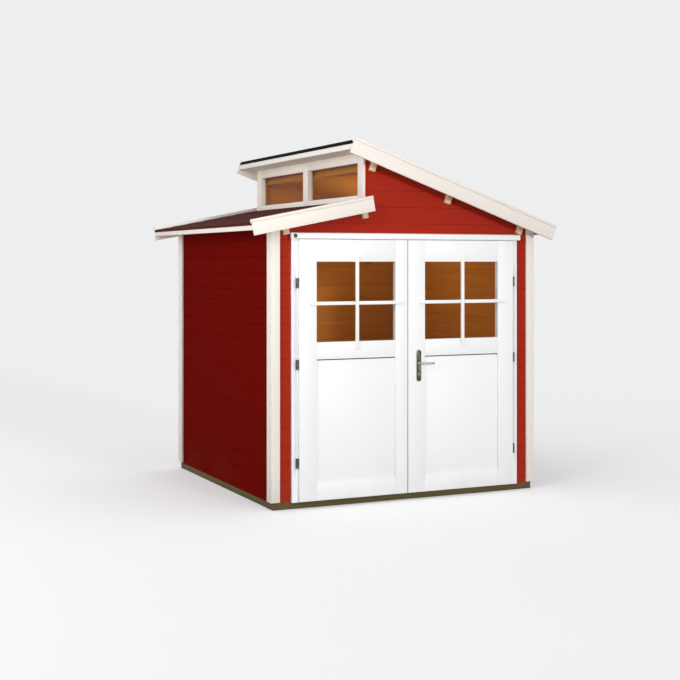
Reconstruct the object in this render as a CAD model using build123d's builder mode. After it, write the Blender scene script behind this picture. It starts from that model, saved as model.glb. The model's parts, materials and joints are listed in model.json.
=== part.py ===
"""Wooden garden shed with double doors and a stepped roof.

Millimetres. Origin at the centre of the base, on the ground. X to the right along the door front,
Y towards the back, Z up.
"""
import os
from math import cos, radians, sin, tan

from build123d import *

os.makedirs("parts", exist_ok=True)

# House
house_width = 2100.0  # over the corner boards
house_depth = 2026.0  # over the corner boards
side_wall_height = 1903.0  # wall boards of both side walls, at their outer face
wall_thickness = 21.0
corner_thickness = 18.0
corner_width = 65.0
corner_lift = 8.0  # foot of the corner boards above the foot of the walls

# Base
bearer_height = 45.0
bearer_width = 60.0
joist_count = 5
floor_thickness = 19.0

# Roof
low_pitch = 11.2  # degrees
high_pitch = 19.6  # degrees
deck_thickness = 19.0
covering_thickness = 5.0
eave_lap = 8.0  # covering turned down over the eave fascias
high_lap = 12.0  # covering turned down over the high fascia
lap_thickness = 3.0
low_overhang = 171.0  # deck beyond the left wall
right_overhang = 117.0  # deck beyond the right wall
high_overhang = 100.0  # deck beyond the clerestory
verge_overhang = 105.0  # deck beyond the front and rear walls
fascia_thickness = 18.0
eave_fascia_height = 41.0
high_fascia_height = 52.0
barge_thickness = 20.0
low_barge_drop = 76.0  # below the top of the deck
high_barge_drop = 82.0
barge_set_back = 16.0  # low barge boards short of the clerestory's inner face
barge_rise = 12.0  # above the top of the deck
cap_height = 20.0
cap_reach = 5.0  # in front of the barge board
cap_lap = 20.0  # over the roof covering
purlin_width = 42.0
purlin_height = 99.0
purlin_reach = 30.0  # beyond the front and rear walls
low_purlin_count = 2
high_purlin_count = 3
eave_purlin_inset = 73.0  # along the low slope, from the left wall to the middle of its purlin
upper_purlin_inset = 51.0  # along the low slope, from the deck's upper end
right_purlin_inset = 82.0  # along the high slope, from the right wall
purlin_clearance = 3.0  # from the clerestory to the first purlin behind it
notch_clearance = 1.0

# Clerestory between the two roofs
clerestory_set_in = 672.0  # outer face, from the left wall
clerestory_thickness = 45.0
clerestory_casing = 18.0  # what covers the ends of the gable boards
casing_reach = 15.0  # in front of the gable boards
post_width = 90.0
bay_count = 2
sill_height = 46.0
clerestory_head_height = 69.0
pane_recess = 36.0
pane_thickness = 4.0

# Door frame
front_strip_width = 132.0  # wall beside the doorway, from the side wall to the frame
frame_face = 55.0  # width of the jambs and the head
frame_proud = 20.0  # in front of the wall
frame_back = 20.0  # behind the wall
frame_web = 21.0
groove_clearance = 1.0
head_drop = 122.0  # from the eaves to the top of the doorway
header_reach = 12.0  # past the jambs
header_lift = 13.0  # from the top of the doorway to the header
header_height = 43.0
header_thickness = 30.0
header_fall = 6.0  # slope of the header's top
header_drip_width = 6.0
header_drip_depth = 5.0
threshold_height = 30.0
threshold_depth = 40.0
stop_gap = 5.0  # from the closed leaves to the threshold
cap_radius = 14.0
cap_thickness = 6.0
cap_inset = 26.0  # from the left end of the header
cap_bevel = 2.5

# Door leaves
leaf_thickness = 40.0
leaf_clearance = 5.0
lip_thickness = 15.0
lip_overlap = 8.0  # of the lip over the frame
meeting_x = -20.0
meeting_gap = 7.0
stile_width = 129.0  # hinge stiles, over the lip
meeting_stile_width = 118.0  # from the middle of the doorway to the windows
bottom_rail_height = 122.0
middle_rail_height = 106.0
top_rail_height = 139.0
window_height = 551.0
panel_thickness = 12.0
panel_recess = 10.0
glass_thickness = 4.0
glass_recess = 14.0
rebate_depth = 9.0  # depth of the grooves that hold the panel and the glass
seat_clearance = 0.5

# Hinges
low_hinge_height = 262.0  # above the foot of the leaf
middle_hinge_drop = 43.0  # below the middle rail
top_hinge_drop = 297.0  # below the top of the leaf
barrel_radius = 8.0
barrel_length = 34.0
barrel_gap = 1.0
hinge_pin_radius = 4.5
hinge_pin_length = 26.0
hinge_pin_clearance = 0.3
hinge_stud_radius = 3.5
hinge_stud_length = 30.0
hinge_stud_clearance = 0.2

# Lever handle
handle_backset = 83.5  # from the meeting edge of the right leaf
handle_drop = 63.0  # below the middle rail
plate_width = 37.0
plate_height = 224.0
plate_thickness = 3.0
plate_above = 96.0  # from the spindle to the top of the plate
hub_radius = 9.0
hub_clearance = 0.5
lever_radius = 8.0
lever_length = 105.0
lever_stand = 48.0  # axis of the grip in front of the leaf
bore_clearance = 3.0
key_below = 72.0  # from the spindle to the keyhole
key_radius = 4.0
key_slot_width = 4.0
key_slot_length = 12.0

# Places that follow from these sizes
low_angle = radians(low_pitch)
high_angle = radians(high_pitch)
wall_x = house_width / 2 - corner_thickness
wall_y = house_depth / 2 - corner_thickness
inner_x = wall_x - wall_thickness
inner_y = wall_y - wall_thickness
wall_bottom = bearer_height
eave_z = wall_bottom + side_wall_height
verge_y = wall_y + verge_overhang
barge_y = verge_y + barge_thickness
clerestory_x = clerestory_set_in - wall_x
clerestory_inner_x = clerestory_x + clerestory_thickness
gable_end_x = clerestory_x + clerestory_casing
frame_half_width = wall_x - front_strip_width
frame_inner_x = frame_half_width - frame_face
head_bottom = eave_z - head_drop
header_bottom = head_bottom + header_lift
header_half_length = frame_half_width + header_reach
frame_front = wall_y + frame_proud
leaf_front = wall_y + leaf_thickness
lip_x = frame_inner_x + lip_overlap
leaf_body_x = frame_inner_x - leaf_clearance
leaf_bottom = wall_bottom + leaf_clearance
lip_top = header_bottom - leaf_clearance
leaf_body_top = head_bottom - leaf_clearance
window_outer_x = lip_x - stile_width
window_inner_x = meeting_stile_width
window_top = leaf_body_top - top_rail_height
window_bottom = window_top - window_height
panel_top = window_bottom - middle_rail_height
panel_bottom = leaf_bottom + bottom_rail_height
hinge_heights = (
    leaf_bottom + low_hinge_height,
    panel_top - middle_hinge_drop,
    lip_top - top_hinge_drop,
)
handle_x = meeting_x + meeting_gap / 2 + handle_backset
handle_z = panel_top - handle_drop
hinge_x = lip_x + barrel_gap + barrel_radius
hinge_y = leaf_front - lip_thickness / 2


def low_under(x):
    """Height of the underside of the low roof's deck."""
    return eave_z + (x + wall_x) * tan(low_angle)


def high_under(x):
    """Height of the underside of the high roof's deck."""
    return eave_z + (wall_x - x) * tan(high_angle)


low_deck_rise = deck_thickness / cos(low_angle)
high_deck_rise = deck_thickness / cos(high_angle)
low_eave_x = -wall_x - low_overhang
high_edge_x = clerestory_x - high_overhang
low_deck_length = (clerestory_inner_x - low_eave_x) / cos(low_angle)
deck_foot_x = clerestory_inner_x + deck_thickness * sin(low_angle)  # square end of the low deck
low_cover_length = (clerestory_x - low_eave_x) / cos(low_angle)
high_deck_length = (wall_x + right_overhang - high_edge_x) / cos(high_angle)
pane_bottom = low_under(clerestory_x) + low_deck_rise + sill_height
pane_top = high_under(clerestory_x) - clerestory_head_height


def low_plane(y):
    """Section plane of the low roof: along the slope from the eave, square to it, facing front."""
    origin = (low_eave_x, y, low_under(low_eave_x) + low_deck_rise)
    return Plane(origin, x_dir=(cos(low_angle), 0, sin(low_angle)), z_dir=(0, -1, 0))


def high_plane(y):
    """Section plane of the high roof: down the slope from the high edge, facing front."""
    origin = (high_edge_x, y, high_under(high_edge_x) + high_deck_rise)
    return Plane(origin, x_dir=(cos(high_angle), 0, -sin(high_angle)), z_dir=(0, -1, 0))


def add_bar(plane, u_span, v_span, length, mode=Mode.ADD):
    """Square-edged bar: a rectangle on the plane, drawn out along the plane's normal."""
    with BuildSketch(plane) as section:
        with Locations(((u_span[0] + u_span[1]) / 2, (v_span[0] + v_span[1]) / 2)):
            Rectangle(abs(u_span[1] - u_span[0]), v_span[1] - v_span[0])
    extrude(section.sketch, amount=length, mode=mode)


def add_block(x_span, y_span, z_span, mode=Mode.ADD):
    """Upright square-edged block between two limits on each axis."""
    add_bar(Plane.XY.offset(z_span[0]), x_span, y_span, z_span[1] - z_span[0], mode)


def add_outline(points, y_span, mode=Mode.ADD):
    """Flat piece with an outline in X and Z, between two depths."""
    with BuildSketch(Plane.XZ.offset(-y_span[1])) as outline:
        with BuildLine():
            Polyline(*points, close=True)
        make_face()
    extrude(outline.sketch, amount=y_span[1] - y_span[0], mode=mode)


def save(piece, name):
    """Label a finished piece and write it out."""
    piece.label = name
    export_step(piece, f"parts/{name}.step")


# Base: two end bearers, joists between them and the floor on top
with BuildPart() as end_bearers:
    for side in (-1, 1):
        ends = sorted((side * wall_y, side * (wall_y - bearer_width)))
        add_block((-wall_x, wall_x), ends, (0, bearer_height))
save(end_bearers.part, "end_bearers")

joist_y = wall_y - bearer_width
joist_pitch = 2 * (wall_x - bearer_width / 2) / (joist_count - 1)
with BuildPart() as floor_joists:
    for index in range(joist_count):
        middle = bearer_width / 2 - wall_x + index * joist_pitch
        edges = (middle - bearer_width / 2, middle + bearer_width / 2)
        add_block(edges, (-joist_y, joist_y), (0, bearer_height))
save(floor_joists.part, "floor_joists")

floor_top = bearer_height + floor_thickness
threshold_back = -wall_y + stop_gap + threshold_depth
with BuildPart() as floor:
    add_block((-inner_x, inner_x), (-inner_y, inner_y), (bearer_height, floor_top))
    add_block(
        (-frame_half_width, frame_half_width),
        (-inner_y, threshold_back),
        (bearer_height, floor_top),
        Mode.SUBTRACT,
    )
save(floor.part, "floor")

# Side walls, with their tops cut to the slope of the roofs
with BuildPart() as left_wall:
    left_wall_outline = [
        (-wall_x, wall_bottom),
        (-inner_x, wall_bottom),
        (-inner_x, low_under(-inner_x)),
        (-wall_x, low_under(-wall_x)),
    ]
    add_outline(left_wall_outline, (-wall_y, wall_y))
save(left_wall.part, "left_wall")

with BuildPart() as right_wall:
    right_wall_outline = [
        (inner_x, wall_bottom),
        (wall_x, wall_bottom),
        (wall_x, high_under(wall_x)),
        (inner_x, high_under(inner_x)),
    ]
    add_outline(right_wall_outline, (-wall_y, wall_y))
save(right_wall.part, "right_wall")


def purlin_places(first, last, count):
    """Middles of evenly spaced purlins along a slope."""
    return [first + index * (last - first) / (count - 1) for index in range(count)]


low_purlin_first = low_overhang / cos(low_angle) + eave_purlin_inset
low_purlin_last = low_deck_length - upper_purlin_inset
purlin_foot_shift = (deck_thickness + purlin_height) * sin(high_angle)
clear_of_clerestory = clerestory_inner_x + purlin_clearance - high_edge_x + purlin_foot_shift
high_purlin_first = clear_of_clerestory / cos(high_angle) + purlin_width / 2
high_purlin_last = high_deck_length - right_overhang / cos(high_angle) - right_purlin_inset
low_purlin_places = purlin_places(low_purlin_first, low_purlin_last, low_purlin_count)
high_purlin_places = purlin_places(high_purlin_first, high_purlin_last, high_purlin_count)


def add_purlins(plane_at, places, y_span, clearance, mode):
    """Purlins square to a roof, under its deck, with some clearance at their sides and foot."""
    half = purlin_width / 2 + clearance
    foot = -deck_thickness - purlin_height - clearance
    for place in places:
        add_bar(
            plane_at(y_span[1]),
            (place - half, place + half),
            (foot, -deck_thickness),
            y_span[1] - y_span[0],
            mode,
        )


def gable_top_outline():
    """Top of a gable wall from its left end to its right end, stepped at the clerestory."""
    return [
        (-inner_x, low_under(-inner_x)),
        (deck_foot_x, low_under(deck_foot_x)),
        (clerestory_inner_x, low_under(clerestory_inner_x) + low_deck_rise),
        (gable_end_x, low_under(gable_end_x) + low_deck_rise),
        (gable_end_x, high_under(gable_end_x)),
        (inner_x, high_under(inner_x)),
    ]


def cut_purlin_notches(y_span):
    """Slots in a gable wall where the purlins run out."""
    add_purlins(low_plane, low_purlin_places, y_span, notch_clearance, Mode.SUBTRACT)
    add_purlins(high_plane, high_purlin_places, y_span, notch_clearance, Mode.SUBTRACT)


with BuildPart() as rear_wall:
    rear_foot = [(inner_x, wall_bottom), (-inner_x, wall_bottom)]
    add_outline(gable_top_outline() + rear_foot, (inner_y, wall_y))
    cut_purlin_notches((inner_y, wall_y))
save(rear_wall.part, "rear_wall")

# Front wall: a strip on each side of the doorway and the gable over it
groove_x = frame_inner_x + frame_web + groove_clearance
groove_z = head_bottom + frame_web + groove_clearance
with BuildPart() as front_wall_left:
    add_block((-inner_x, -groove_x), (-wall_y, -inner_y), (wall_bottom, head_bottom))
save(front_wall_left.part, "front_wall_left")

with BuildPart() as front_wall_right:
    add_block((groove_x, inner_x), (-wall_y, -inner_y), (wall_bottom, head_bottom))
save(front_wall_right.part, "front_wall_right")

with BuildPart() as front_gable:
    gable_notch_x = frame_half_width + groove_clearance
    gable_foot = [
        (inner_x, head_bottom),
        (gable_notch_x, head_bottom),
        (gable_notch_x, groove_z),
        (-gable_notch_x, groove_z),
        (-gable_notch_x, head_bottom),
        (-inner_x, head_bottom),
    ]
    add_outline(gable_top_outline() + gable_foot, (-wall_y, -inner_y))
    cut_purlin_notches((-wall_y, -inner_y))
save(front_gable.part, "front_gable")

# Corner boards: the gable ones cover the edges of the side ones
corner_foot = wall_bottom + corner_lift
corner_x = house_width / 2
corner_y = house_depth / 2


def corner_outline(edges, under):
    """Board outline between two edges, with its top cut to the roof above it."""
    left, right = sorted(edges)
    return [(left, corner_foot), (right, corner_foot), (right, under(right)), (left, under(left))]


with BuildPart() as gable_corner_boards:
    for y_span in ((-corner_y, -wall_y), (wall_y, corner_y)):
        add_outline(corner_outline((-corner_x, corner_width - corner_x), low_under), y_span)
        add_outline(corner_outline((corner_x, corner_x - corner_width), high_under), y_span)
save(gable_corner_boards.part, "gable_corner_boards")

with BuildPart() as side_corner_boards:
    for y_span in ((-wall_y, corner_width - wall_y), (wall_y - corner_width, wall_y)):
        add_outline(corner_outline((-corner_x, -wall_x), low_under), y_span)
        add_outline(corner_outline((corner_x, wall_x), high_under), y_span)
save(side_corner_boards.part, "side_corner_boards")

# Door frame: grooved jambs and head that hold the edges of the wall boards
frame_y_span = (-frame_front, frame_back - inner_y)
with BuildPart() as door_jambs:
    for side in (-1, 1):
        faces = sorted((side * frame_half_width, side * frame_inner_x))
        add_block(faces, frame_y_span, (wall_bottom, head_bottom))
        slot = sorted((side * frame_half_width, side * (frame_inner_x + frame_web)))
        add_block(slot, (-wall_y, -inner_y), (wall_bottom, head_bottom), Mode.SUBTRACT)
        for height in hinge_heights:
            stud_mouth = Plane((side * hinge_x, -frame_front, height - barrel_length / 2), z_dir=(0, 1, 0))
            with BuildSketch(stud_mouth) as stud_hole:
                Circle(hinge_stud_radius + hinge_stud_clearance)
            extrude(stud_hole.sketch, amount=frame_proud, mode=Mode.SUBTRACT)
save(door_jambs.part, "door_jambs")

with BuildPart() as door_head:
    head_span = (-frame_half_width, frame_half_width)
    add_block(head_span, frame_y_span, (head_bottom, head_bottom + frame_face))
    add_block(
        head_span,
        (-wall_y, -inner_y),
        (head_bottom + frame_web, head_bottom + frame_face),
        Mode.SUBTRACT,
    )
save(door_head.part, "door_head")

# Header board with a sloping top and a drip groove
header_front = frame_front + header_thickness
header_top = header_bottom + header_height
drip_front = -header_front + header_drip_width
with BuildPart() as door_header:
    with BuildSketch(Plane.YZ.offset(-header_half_length)):
        with BuildLine():
            Polyline(
                (-header_front, header_bottom),
                (drip_front, header_bottom),
                (drip_front, header_bottom + header_drip_depth),
                (drip_front + header_drip_width, header_bottom + header_drip_depth),
                (drip_front + header_drip_width, header_bottom),
                (-frame_front, header_bottom),
                (-frame_front, header_top),
                (-header_front, header_top - header_fall),
                close=True,
            )
        make_face()
    extrude(amount=2 * header_half_length)
save(door_header.part, "door_header")

with BuildPart() as header_cap:
    with BuildSketch(Plane.XZ.offset(header_front)):
        with Locations((cap_inset - header_half_length, header_bottom + (header_height - header_fall) / 2)):
            Circle(cap_radius)
    extrude(amount=cap_thickness)
    chamfer(header_cap.edges().group_by(Axis.Y)[0], cap_bevel)
save(header_cap.part, "header_cap")

with BuildPart() as threshold:
    add_block(
        (-frame_inner_x, frame_inner_x),
        (-wall_y + stop_gap, threshold_back),
        (wall_bottom, wall_bottom + threshold_height),
    )
save(threshold.part, "threshold")

# Roof decks, the low one cut back beside the clerestory
clerestory_front = wall_y + casing_reach
low_barge_end = low_deck_length - barge_set_back


def cut_low_verges(v_span):
    """Cuts the low roof's verges back to the upper end of its barge boards."""
    for front in (-clerestory_front, verge_y):
        add_bar(
            low_plane(front),
            (low_barge_end, low_deck_length),
            v_span,
            verge_y - clerestory_front,
            Mode.SUBTRACT,
        )


with BuildPart() as low_roof_deck:
    add_bar(low_plane(verge_y), (0, low_deck_length), (-deck_thickness, 0), 2 * verge_y)
    cut_low_verges((-deck_thickness, 0))
save(low_roof_deck.part, "low_roof_deck")

with BuildPart() as high_roof_deck:
    add_bar(high_plane(verge_y), (0, high_deck_length), (-deck_thickness, 0), 2 * verge_y)
save(high_roof_deck.part, "high_roof_deck")

# Coverings, turned down over the fascias
drip_u = fascia_thickness + lap_thickness
with BuildPart() as low_roof_covering:
    add_bar(low_plane(verge_y), (-drip_u, low_deck_length), (0, covering_thickness), 2 * verge_y)
    add_bar(low_plane(verge_y), (-drip_u, -fascia_thickness), (-eave_lap, 0), 2 * verge_y)
    add_bar(
        low_plane(clerestory_front),
        (low_cover_length, low_deck_length),
        (0, covering_thickness),
        2 * clerestory_front,
        Mode.SUBTRACT,
    )
    cut_low_verges((0, covering_thickness))
save(low_roof_covering.part, "low_roof_covering")

high_end = high_deck_length + fascia_thickness
with BuildPart() as high_roof_covering:
    add_bar(high_plane(verge_y), (-drip_u, high_end + lap_thickness), (0, covering_thickness), 2 * verge_y)
    add_bar(high_plane(verge_y), (-drip_u, -fascia_thickness), (-high_lap, 0), 2 * verge_y)
    add_bar(high_plane(verge_y), (high_end, high_end + lap_thickness), (-eave_lap, 0), 2 * verge_y)
save(high_roof_covering.part, "high_roof_covering")

# Fascias along the eaves and the high edge
with BuildPart() as eave_fascias:
    add_bar(low_plane(verge_y), (-fascia_thickness, 0), (-eave_fascia_height, 0), 2 * verge_y)
    add_bar(high_plane(verge_y), (high_deck_length, high_end), (-eave_fascia_height, 0), 2 * verge_y)
save(eave_fascias.part, "eave_fascias")

with BuildPart() as high_fascia:
    add_bar(high_plane(verge_y), (-fascia_thickness, 0), (-high_fascia_height, 0), 2 * verge_y)
save(high_fascia.part, "high_fascia")

# Barge boards and the rebated caps over them, at both verges of each roof
low_barge_span = (-drip_u, low_barge_end)
high_barge_span = (-drip_u, high_end + lap_thickness)


def barge_boards(plane_at, span, drop):
    """Front and rear barge boards of one roof."""
    with BuildPart() as boards:
        for back in (-verge_y, barge_y):
            add_bar(plane_at(back), span, (-drop, barge_rise), barge_thickness)
    return boards.part


def verge_caps(plane_at, span):
    """Front and rear caps of one roof: over the barge board, rebated to lie on the covering."""
    cap_top = barge_rise + cap_height
    with BuildPart() as caps:
        for side in (-1, 1):
            outer = sorted((side * verge_y, side * (barge_y + cap_reach)))
            inner = sorted((side * verge_y, side * (verge_y - cap_lap)))
            add_bar(plane_at(outer[1]), span, (barge_rise, cap_top), outer[1] - outer[0])
            add_bar(plane_at(inner[1]), span, (covering_thickness, cap_top), inner[1] - inner[0])
    return caps.part


save(barge_boards(low_plane, low_barge_span, low_barge_drop), "low_barge_boards")
save(barge_boards(high_plane, high_barge_span, high_barge_drop), "high_barge_boards")
save(verge_caps(low_plane, low_barge_span), "low_verge_caps")
save(verge_caps(high_plane, high_barge_span), "high_verge_caps")

# Purlins, a little out through both gables
purlin_end = wall_y + purlin_reach
with BuildPart() as low_purlins:
    add_purlins(low_plane, low_purlin_places, (-purlin_end, purlin_end), 0, Mode.ADD)
save(low_purlins.part, "low_purlins")

with BuildPart() as high_purlins:
    add_purlins(high_plane, high_purlin_places, (-purlin_end, purlin_end), 0, Mode.ADD)
save(high_purlins.part, "high_purlins")

# Clerestory: posts from deck to deck, sills and heads between them, panes in their grooves
post_pitch = (2 * clerestory_front - post_width) / bay_count
post_starts = [index * post_pitch - clerestory_front for index in range(bay_count + 1)]
bays = [(post_starts[index] + post_width, post_starts[index + 1]) for index in range(bay_count)]
pane_x = clerestory_x + pane_recess


def clerestory_outline(left, right):
    """Outline of a post between the two roofs."""
    return [
        (left, low_under(left) + low_deck_rise),
        (right, low_under(right) + low_deck_rise),
        (right, high_under(right)),
        (left, high_under(left)),
    ]


def cut_pane_grooves():
    """Groove all round each bay for its pane."""
    groove = (pane_x - seat_clearance, pane_x + pane_thickness + seat_clearance)
    for start, end in bays:
        depth = rebate_depth + seat_clearance
        add_block(
            groove,
            (start - depth, end + depth),
            (pane_bottom - depth, pane_top + depth),
            Mode.SUBTRACT,
        )


with BuildPart() as clerestory_posts:
    for start in post_starts:
        span = (start, start + post_width)
        add_outline(clerestory_outline(clerestory_x, clerestory_inner_x), span)
    for gable_span in ((-clerestory_front, -inner_y), (inner_y, clerestory_front)):
        add_outline(clerestory_outline(gable_end_x, clerestory_inner_x), gable_span, Mode.SUBTRACT)
    cut_pane_grooves()
save(clerestory_posts.part, "clerestory_posts")

with BuildPart() as clerestory_sills:
    sill_outline = clerestory_outline(clerestory_x, clerestory_inner_x)[:2]
    sill_outline += [(clerestory_inner_x, pane_bottom), (clerestory_x, pane_bottom)]
    for bay in bays:
        add_outline(sill_outline, bay)
    cut_pane_grooves()
save(clerestory_sills.part, "clerestory_sills")

with BuildPart() as clerestory_heads:
    head_outline = [(clerestory_x, pane_top), (clerestory_inner_x, pane_top)]
    head_outline += clerestory_outline(clerestory_x, clerestory_inner_x)[2:]
    for bay in bays:
        add_outline(head_outline, bay)
    cut_pane_grooves()
save(clerestory_heads.part, "clerestory_heads")

with BuildPart() as clerestory_panes:
    for start, end in bays:
        add_block(
            (pane_x, pane_x + pane_thickness),
            (start - rebate_depth, end + rebate_depth),
            (pane_bottom - rebate_depth, pane_top + rebate_depth),
        )
save(clerestory_panes.part, "clerestory_panes")

# Door leaves: rebated stiles and rails, with a panel below and glass above
panel_y = panel_recess - leaf_front
glass_y = glass_recess - leaf_front


def cut_leaf_grooves(edges):
    """Grooves in a leaf's frame for its panel and its glass."""
    depth = rebate_depth + seat_clearance
    left, right = edges[0] - depth, edges[1] + depth
    panel_span = (panel_y - seat_clearance, panel_y + panel_thickness + seat_clearance)
    glass_span = (glass_y - seat_clearance, glass_y + glass_thickness + seat_clearance)
    add_block((left, right), panel_span, (panel_bottom - depth, panel_top + depth), Mode.SUBTRACT)
    add_block((left, right), glass_span, (window_bottom - depth, window_top + depth), Mode.SUBTRACT)


def leaf_edges(side):
    """Left and right edges of the openings in a leaf: side -1 is the left leaf, 1 the right."""
    return sorted((side * window_inner_x, side * window_outer_x))


def leaf_stiles(side):
    """Hinge stile with its lip, and meeting stile, bored for the lever on the right leaf."""
    meeting = meeting_x + side * meeting_gap / 2
    lip_span = (-leaf_front, lip_thickness - leaf_front)
    with BuildPart() as stiles:
        hinge_stile = sorted((side * window_outer_x, side * leaf_body_x))
        meeting_stile = sorted((side * window_inner_x, meeting))
        for faces in (hinge_stile, meeting_stile):
            add_block(faces, (-leaf_front, -wall_y), (leaf_bottom, leaf_body_top))
            add_block(faces, lip_span, (leaf_body_top, lip_top))
        lip = sorted((side * leaf_body_x, side * lip_x))
        add_block(lip, lip_span, (leaf_bottom, lip_top))
        cut_leaf_grooves(leaf_edges(side))
        for height in hinge_heights:
            stud_mouth = Plane((side * lip_x, -hinge_y, height + barrel_length / 2), z_dir=(-side, 0, 0))
            with BuildSketch(stud_mouth) as stud_hole:
                Circle(hinge_stud_radius + hinge_stud_clearance)
            extrude(stud_hole.sketch, amount=hinge_stud_length, mode=Mode.SUBTRACT)
        if side > 0:
            with BuildSketch(Plane.XZ.offset(wall_y)) as spindle_bore:
                with Locations((handle_x, handle_z)):
                    Circle(hub_radius + bore_clearance)
            extrude(spindle_bore.sketch, amount=leaf_thickness, mode=Mode.SUBTRACT)
    return stiles.part


def leaf_rails(side):
    """Bottom, middle and top rails between the stiles."""
    left, right = leaf_edges(side)
    leaf_span = (-leaf_front, -wall_y)
    with BuildPart() as rails:
        add_block((left, right), leaf_span, (leaf_bottom, panel_bottom))
        add_block((left, right), leaf_span, (panel_top, window_bottom))
        add_block((left, right), leaf_span, (window_top, leaf_body_top))
        add_block((left, right), (-leaf_front, lip_thickness - leaf_front), (leaf_body_top, lip_top))
        cut_leaf_grooves((left, right))
    return rails.part


def leaf_sheet(side, y, thickness, bottom, top):
    """Sheet that fills one opening of a leaf and sits in its grooves."""
    left, right = leaf_edges(side)
    with BuildPart() as sheet:
        add_block(
            (left - rebate_depth, right + rebate_depth),
            (y, y + thickness),
            (bottom - rebate_depth, top + rebate_depth),
        )
    return sheet.part


for side, hand in ((-1, "left"), (1, "right")):
    save(leaf_stiles(side), f"{hand}_door_stiles")
    save(leaf_rails(side), f"{hand}_door_rails")
    save(leaf_sheet(side, panel_y, panel_thickness, panel_bottom, panel_top), f"{hand}_door_panel")
    save(leaf_sheet(side, glass_y, glass_thickness, window_bottom, window_top), f"{hand}_door_glass")


# Drill-in hinges: a lower barrel with the pin on the frame, an upper barrel on the leaf
def hinge_frame_halves():
    """Lower barrels with their pins, and studs that run back into the jambs."""
    with BuildPart() as halves:
        for side in (-1, 1):
            for height in hinge_heights:
                foot = Plane((side * hinge_x, -hinge_y, height - barrel_length))
                with BuildSketch(foot) as barrel:
                    Circle(barrel_radius)
                extrude(barrel.sketch, amount=barrel_length - barrel_gap / 2)
                with BuildSketch(foot) as pin:
                    Circle(hinge_pin_radius)
                extrude(pin.sketch, amount=barrel_length + hinge_pin_length)
                middle = Plane((side * hinge_x, -hinge_y, height - barrel_length / 2), z_dir=(0, 1, 0))
                with BuildSketch(middle) as stud:
                    Circle(hinge_stud_radius)
                extrude(stud.sketch, amount=hinge_y - wall_y - hinge_stud_clearance)
    return halves.part


def hinge_leaf_halves(side):
    """Upper barrels, bored for the pins, with studs that run into the edge of the leaf."""
    with BuildPart() as halves:
        for height in hinge_heights:
            foot = Plane((side * hinge_x, -hinge_y, height + barrel_gap / 2))
            with BuildSketch(foot) as barrel:
                Circle(barrel_radius)
            extrude(barrel.sketch, amount=barrel_length - barrel_gap / 2)
            middle = Plane((side * hinge_x, -hinge_y, height + barrel_length / 2), z_dir=(-side, 0, 0))
            with BuildSketch(middle) as stud:
                Circle(hinge_stud_radius)
            extrude(stud.sketch, amount=hinge_stud_length)
            with BuildSketch(foot) as bore:
                Circle(hinge_pin_radius + hinge_pin_clearance)
            extrude(bore.sketch, amount=hinge_pin_length + hinge_pin_clearance, mode=Mode.SUBTRACT)
    return halves.part


save(hinge_frame_halves(), "hinge_frame_halves")
save(hinge_leaf_halves(-1), "left_hinge_leaf_halves")
save(hinge_leaf_halves(1), "right_hinge_leaf_halves")

# Handle plates on both faces of the right leaf, with keyholes
plate_middle_z = handle_z + plate_above - plate_height / 2
with BuildPart() as handle_plates:
    for face in (leaf_front, wall_y - plate_thickness):
        with BuildSketch(Plane.XZ.offset(face)) as plate:
            with Locations((handle_x, plate_middle_z)):
                SlotOverall(plate_height, plate_width, rotation=90)
            with Locations((handle_x, handle_z)):
                Circle(hub_radius + hub_clearance, mode=Mode.SUBTRACT)
            with Locations((handle_x, handle_z - key_below)):
                Circle(key_radius, mode=Mode.SUBTRACT)
            with Locations((handle_x, handle_z - key_below - key_slot_length / 2)):
                Rectangle(key_slot_width, key_slot_length, mode=Mode.SUBTRACT)
        extrude(plate.sketch, amount=plate_thickness)
save(handle_plates.part, "handle_plates")

# Lever: a grip on each face of the leaf, joined by the spindle
lever_front = leaf_front + lever_stand
lever_back = wall_y - lever_stand
with BuildPart() as door_lever:
    with BuildLine() as lever_path:
        Polyline(
            (handle_x + lever_length, -lever_front, handle_z),
            (handle_x, -lever_front, handle_z),
            (handle_x, -lever_back, handle_z),
            (handle_x + lever_length, -lever_back, handle_z),
        )
    with BuildSketch(Plane((handle_x + lever_length, -lever_front, handle_z), z_dir=(-1, 0, 0))):
        Circle(lever_radius)
    sweep(path=lever_path.line, transition=Transition.RIGHT)
    with BuildSketch(Plane.XZ.offset(wall_y - plate_thickness - hub_radius)) as hub:
        with Locations((handle_x, handle_z)):
            Circle(hub_radius)
    extrude(hub.sketch, amount=leaf_thickness + 2 * (plate_thickness + hub_radius))
save(door_lever.part, "door_lever")
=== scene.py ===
"""Wooden garden shed: boards, shingles, window bars, paint and ironwork around its solids."""
import json
import random
from math import ceil, cos, pi, radians, sin

import bmesh
import bpy
from bpy.props import FloatProperty, FloatVectorProperty, IntProperty, PointerProperty, StringProperty
from mathutils import Matrix, Vector


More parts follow.
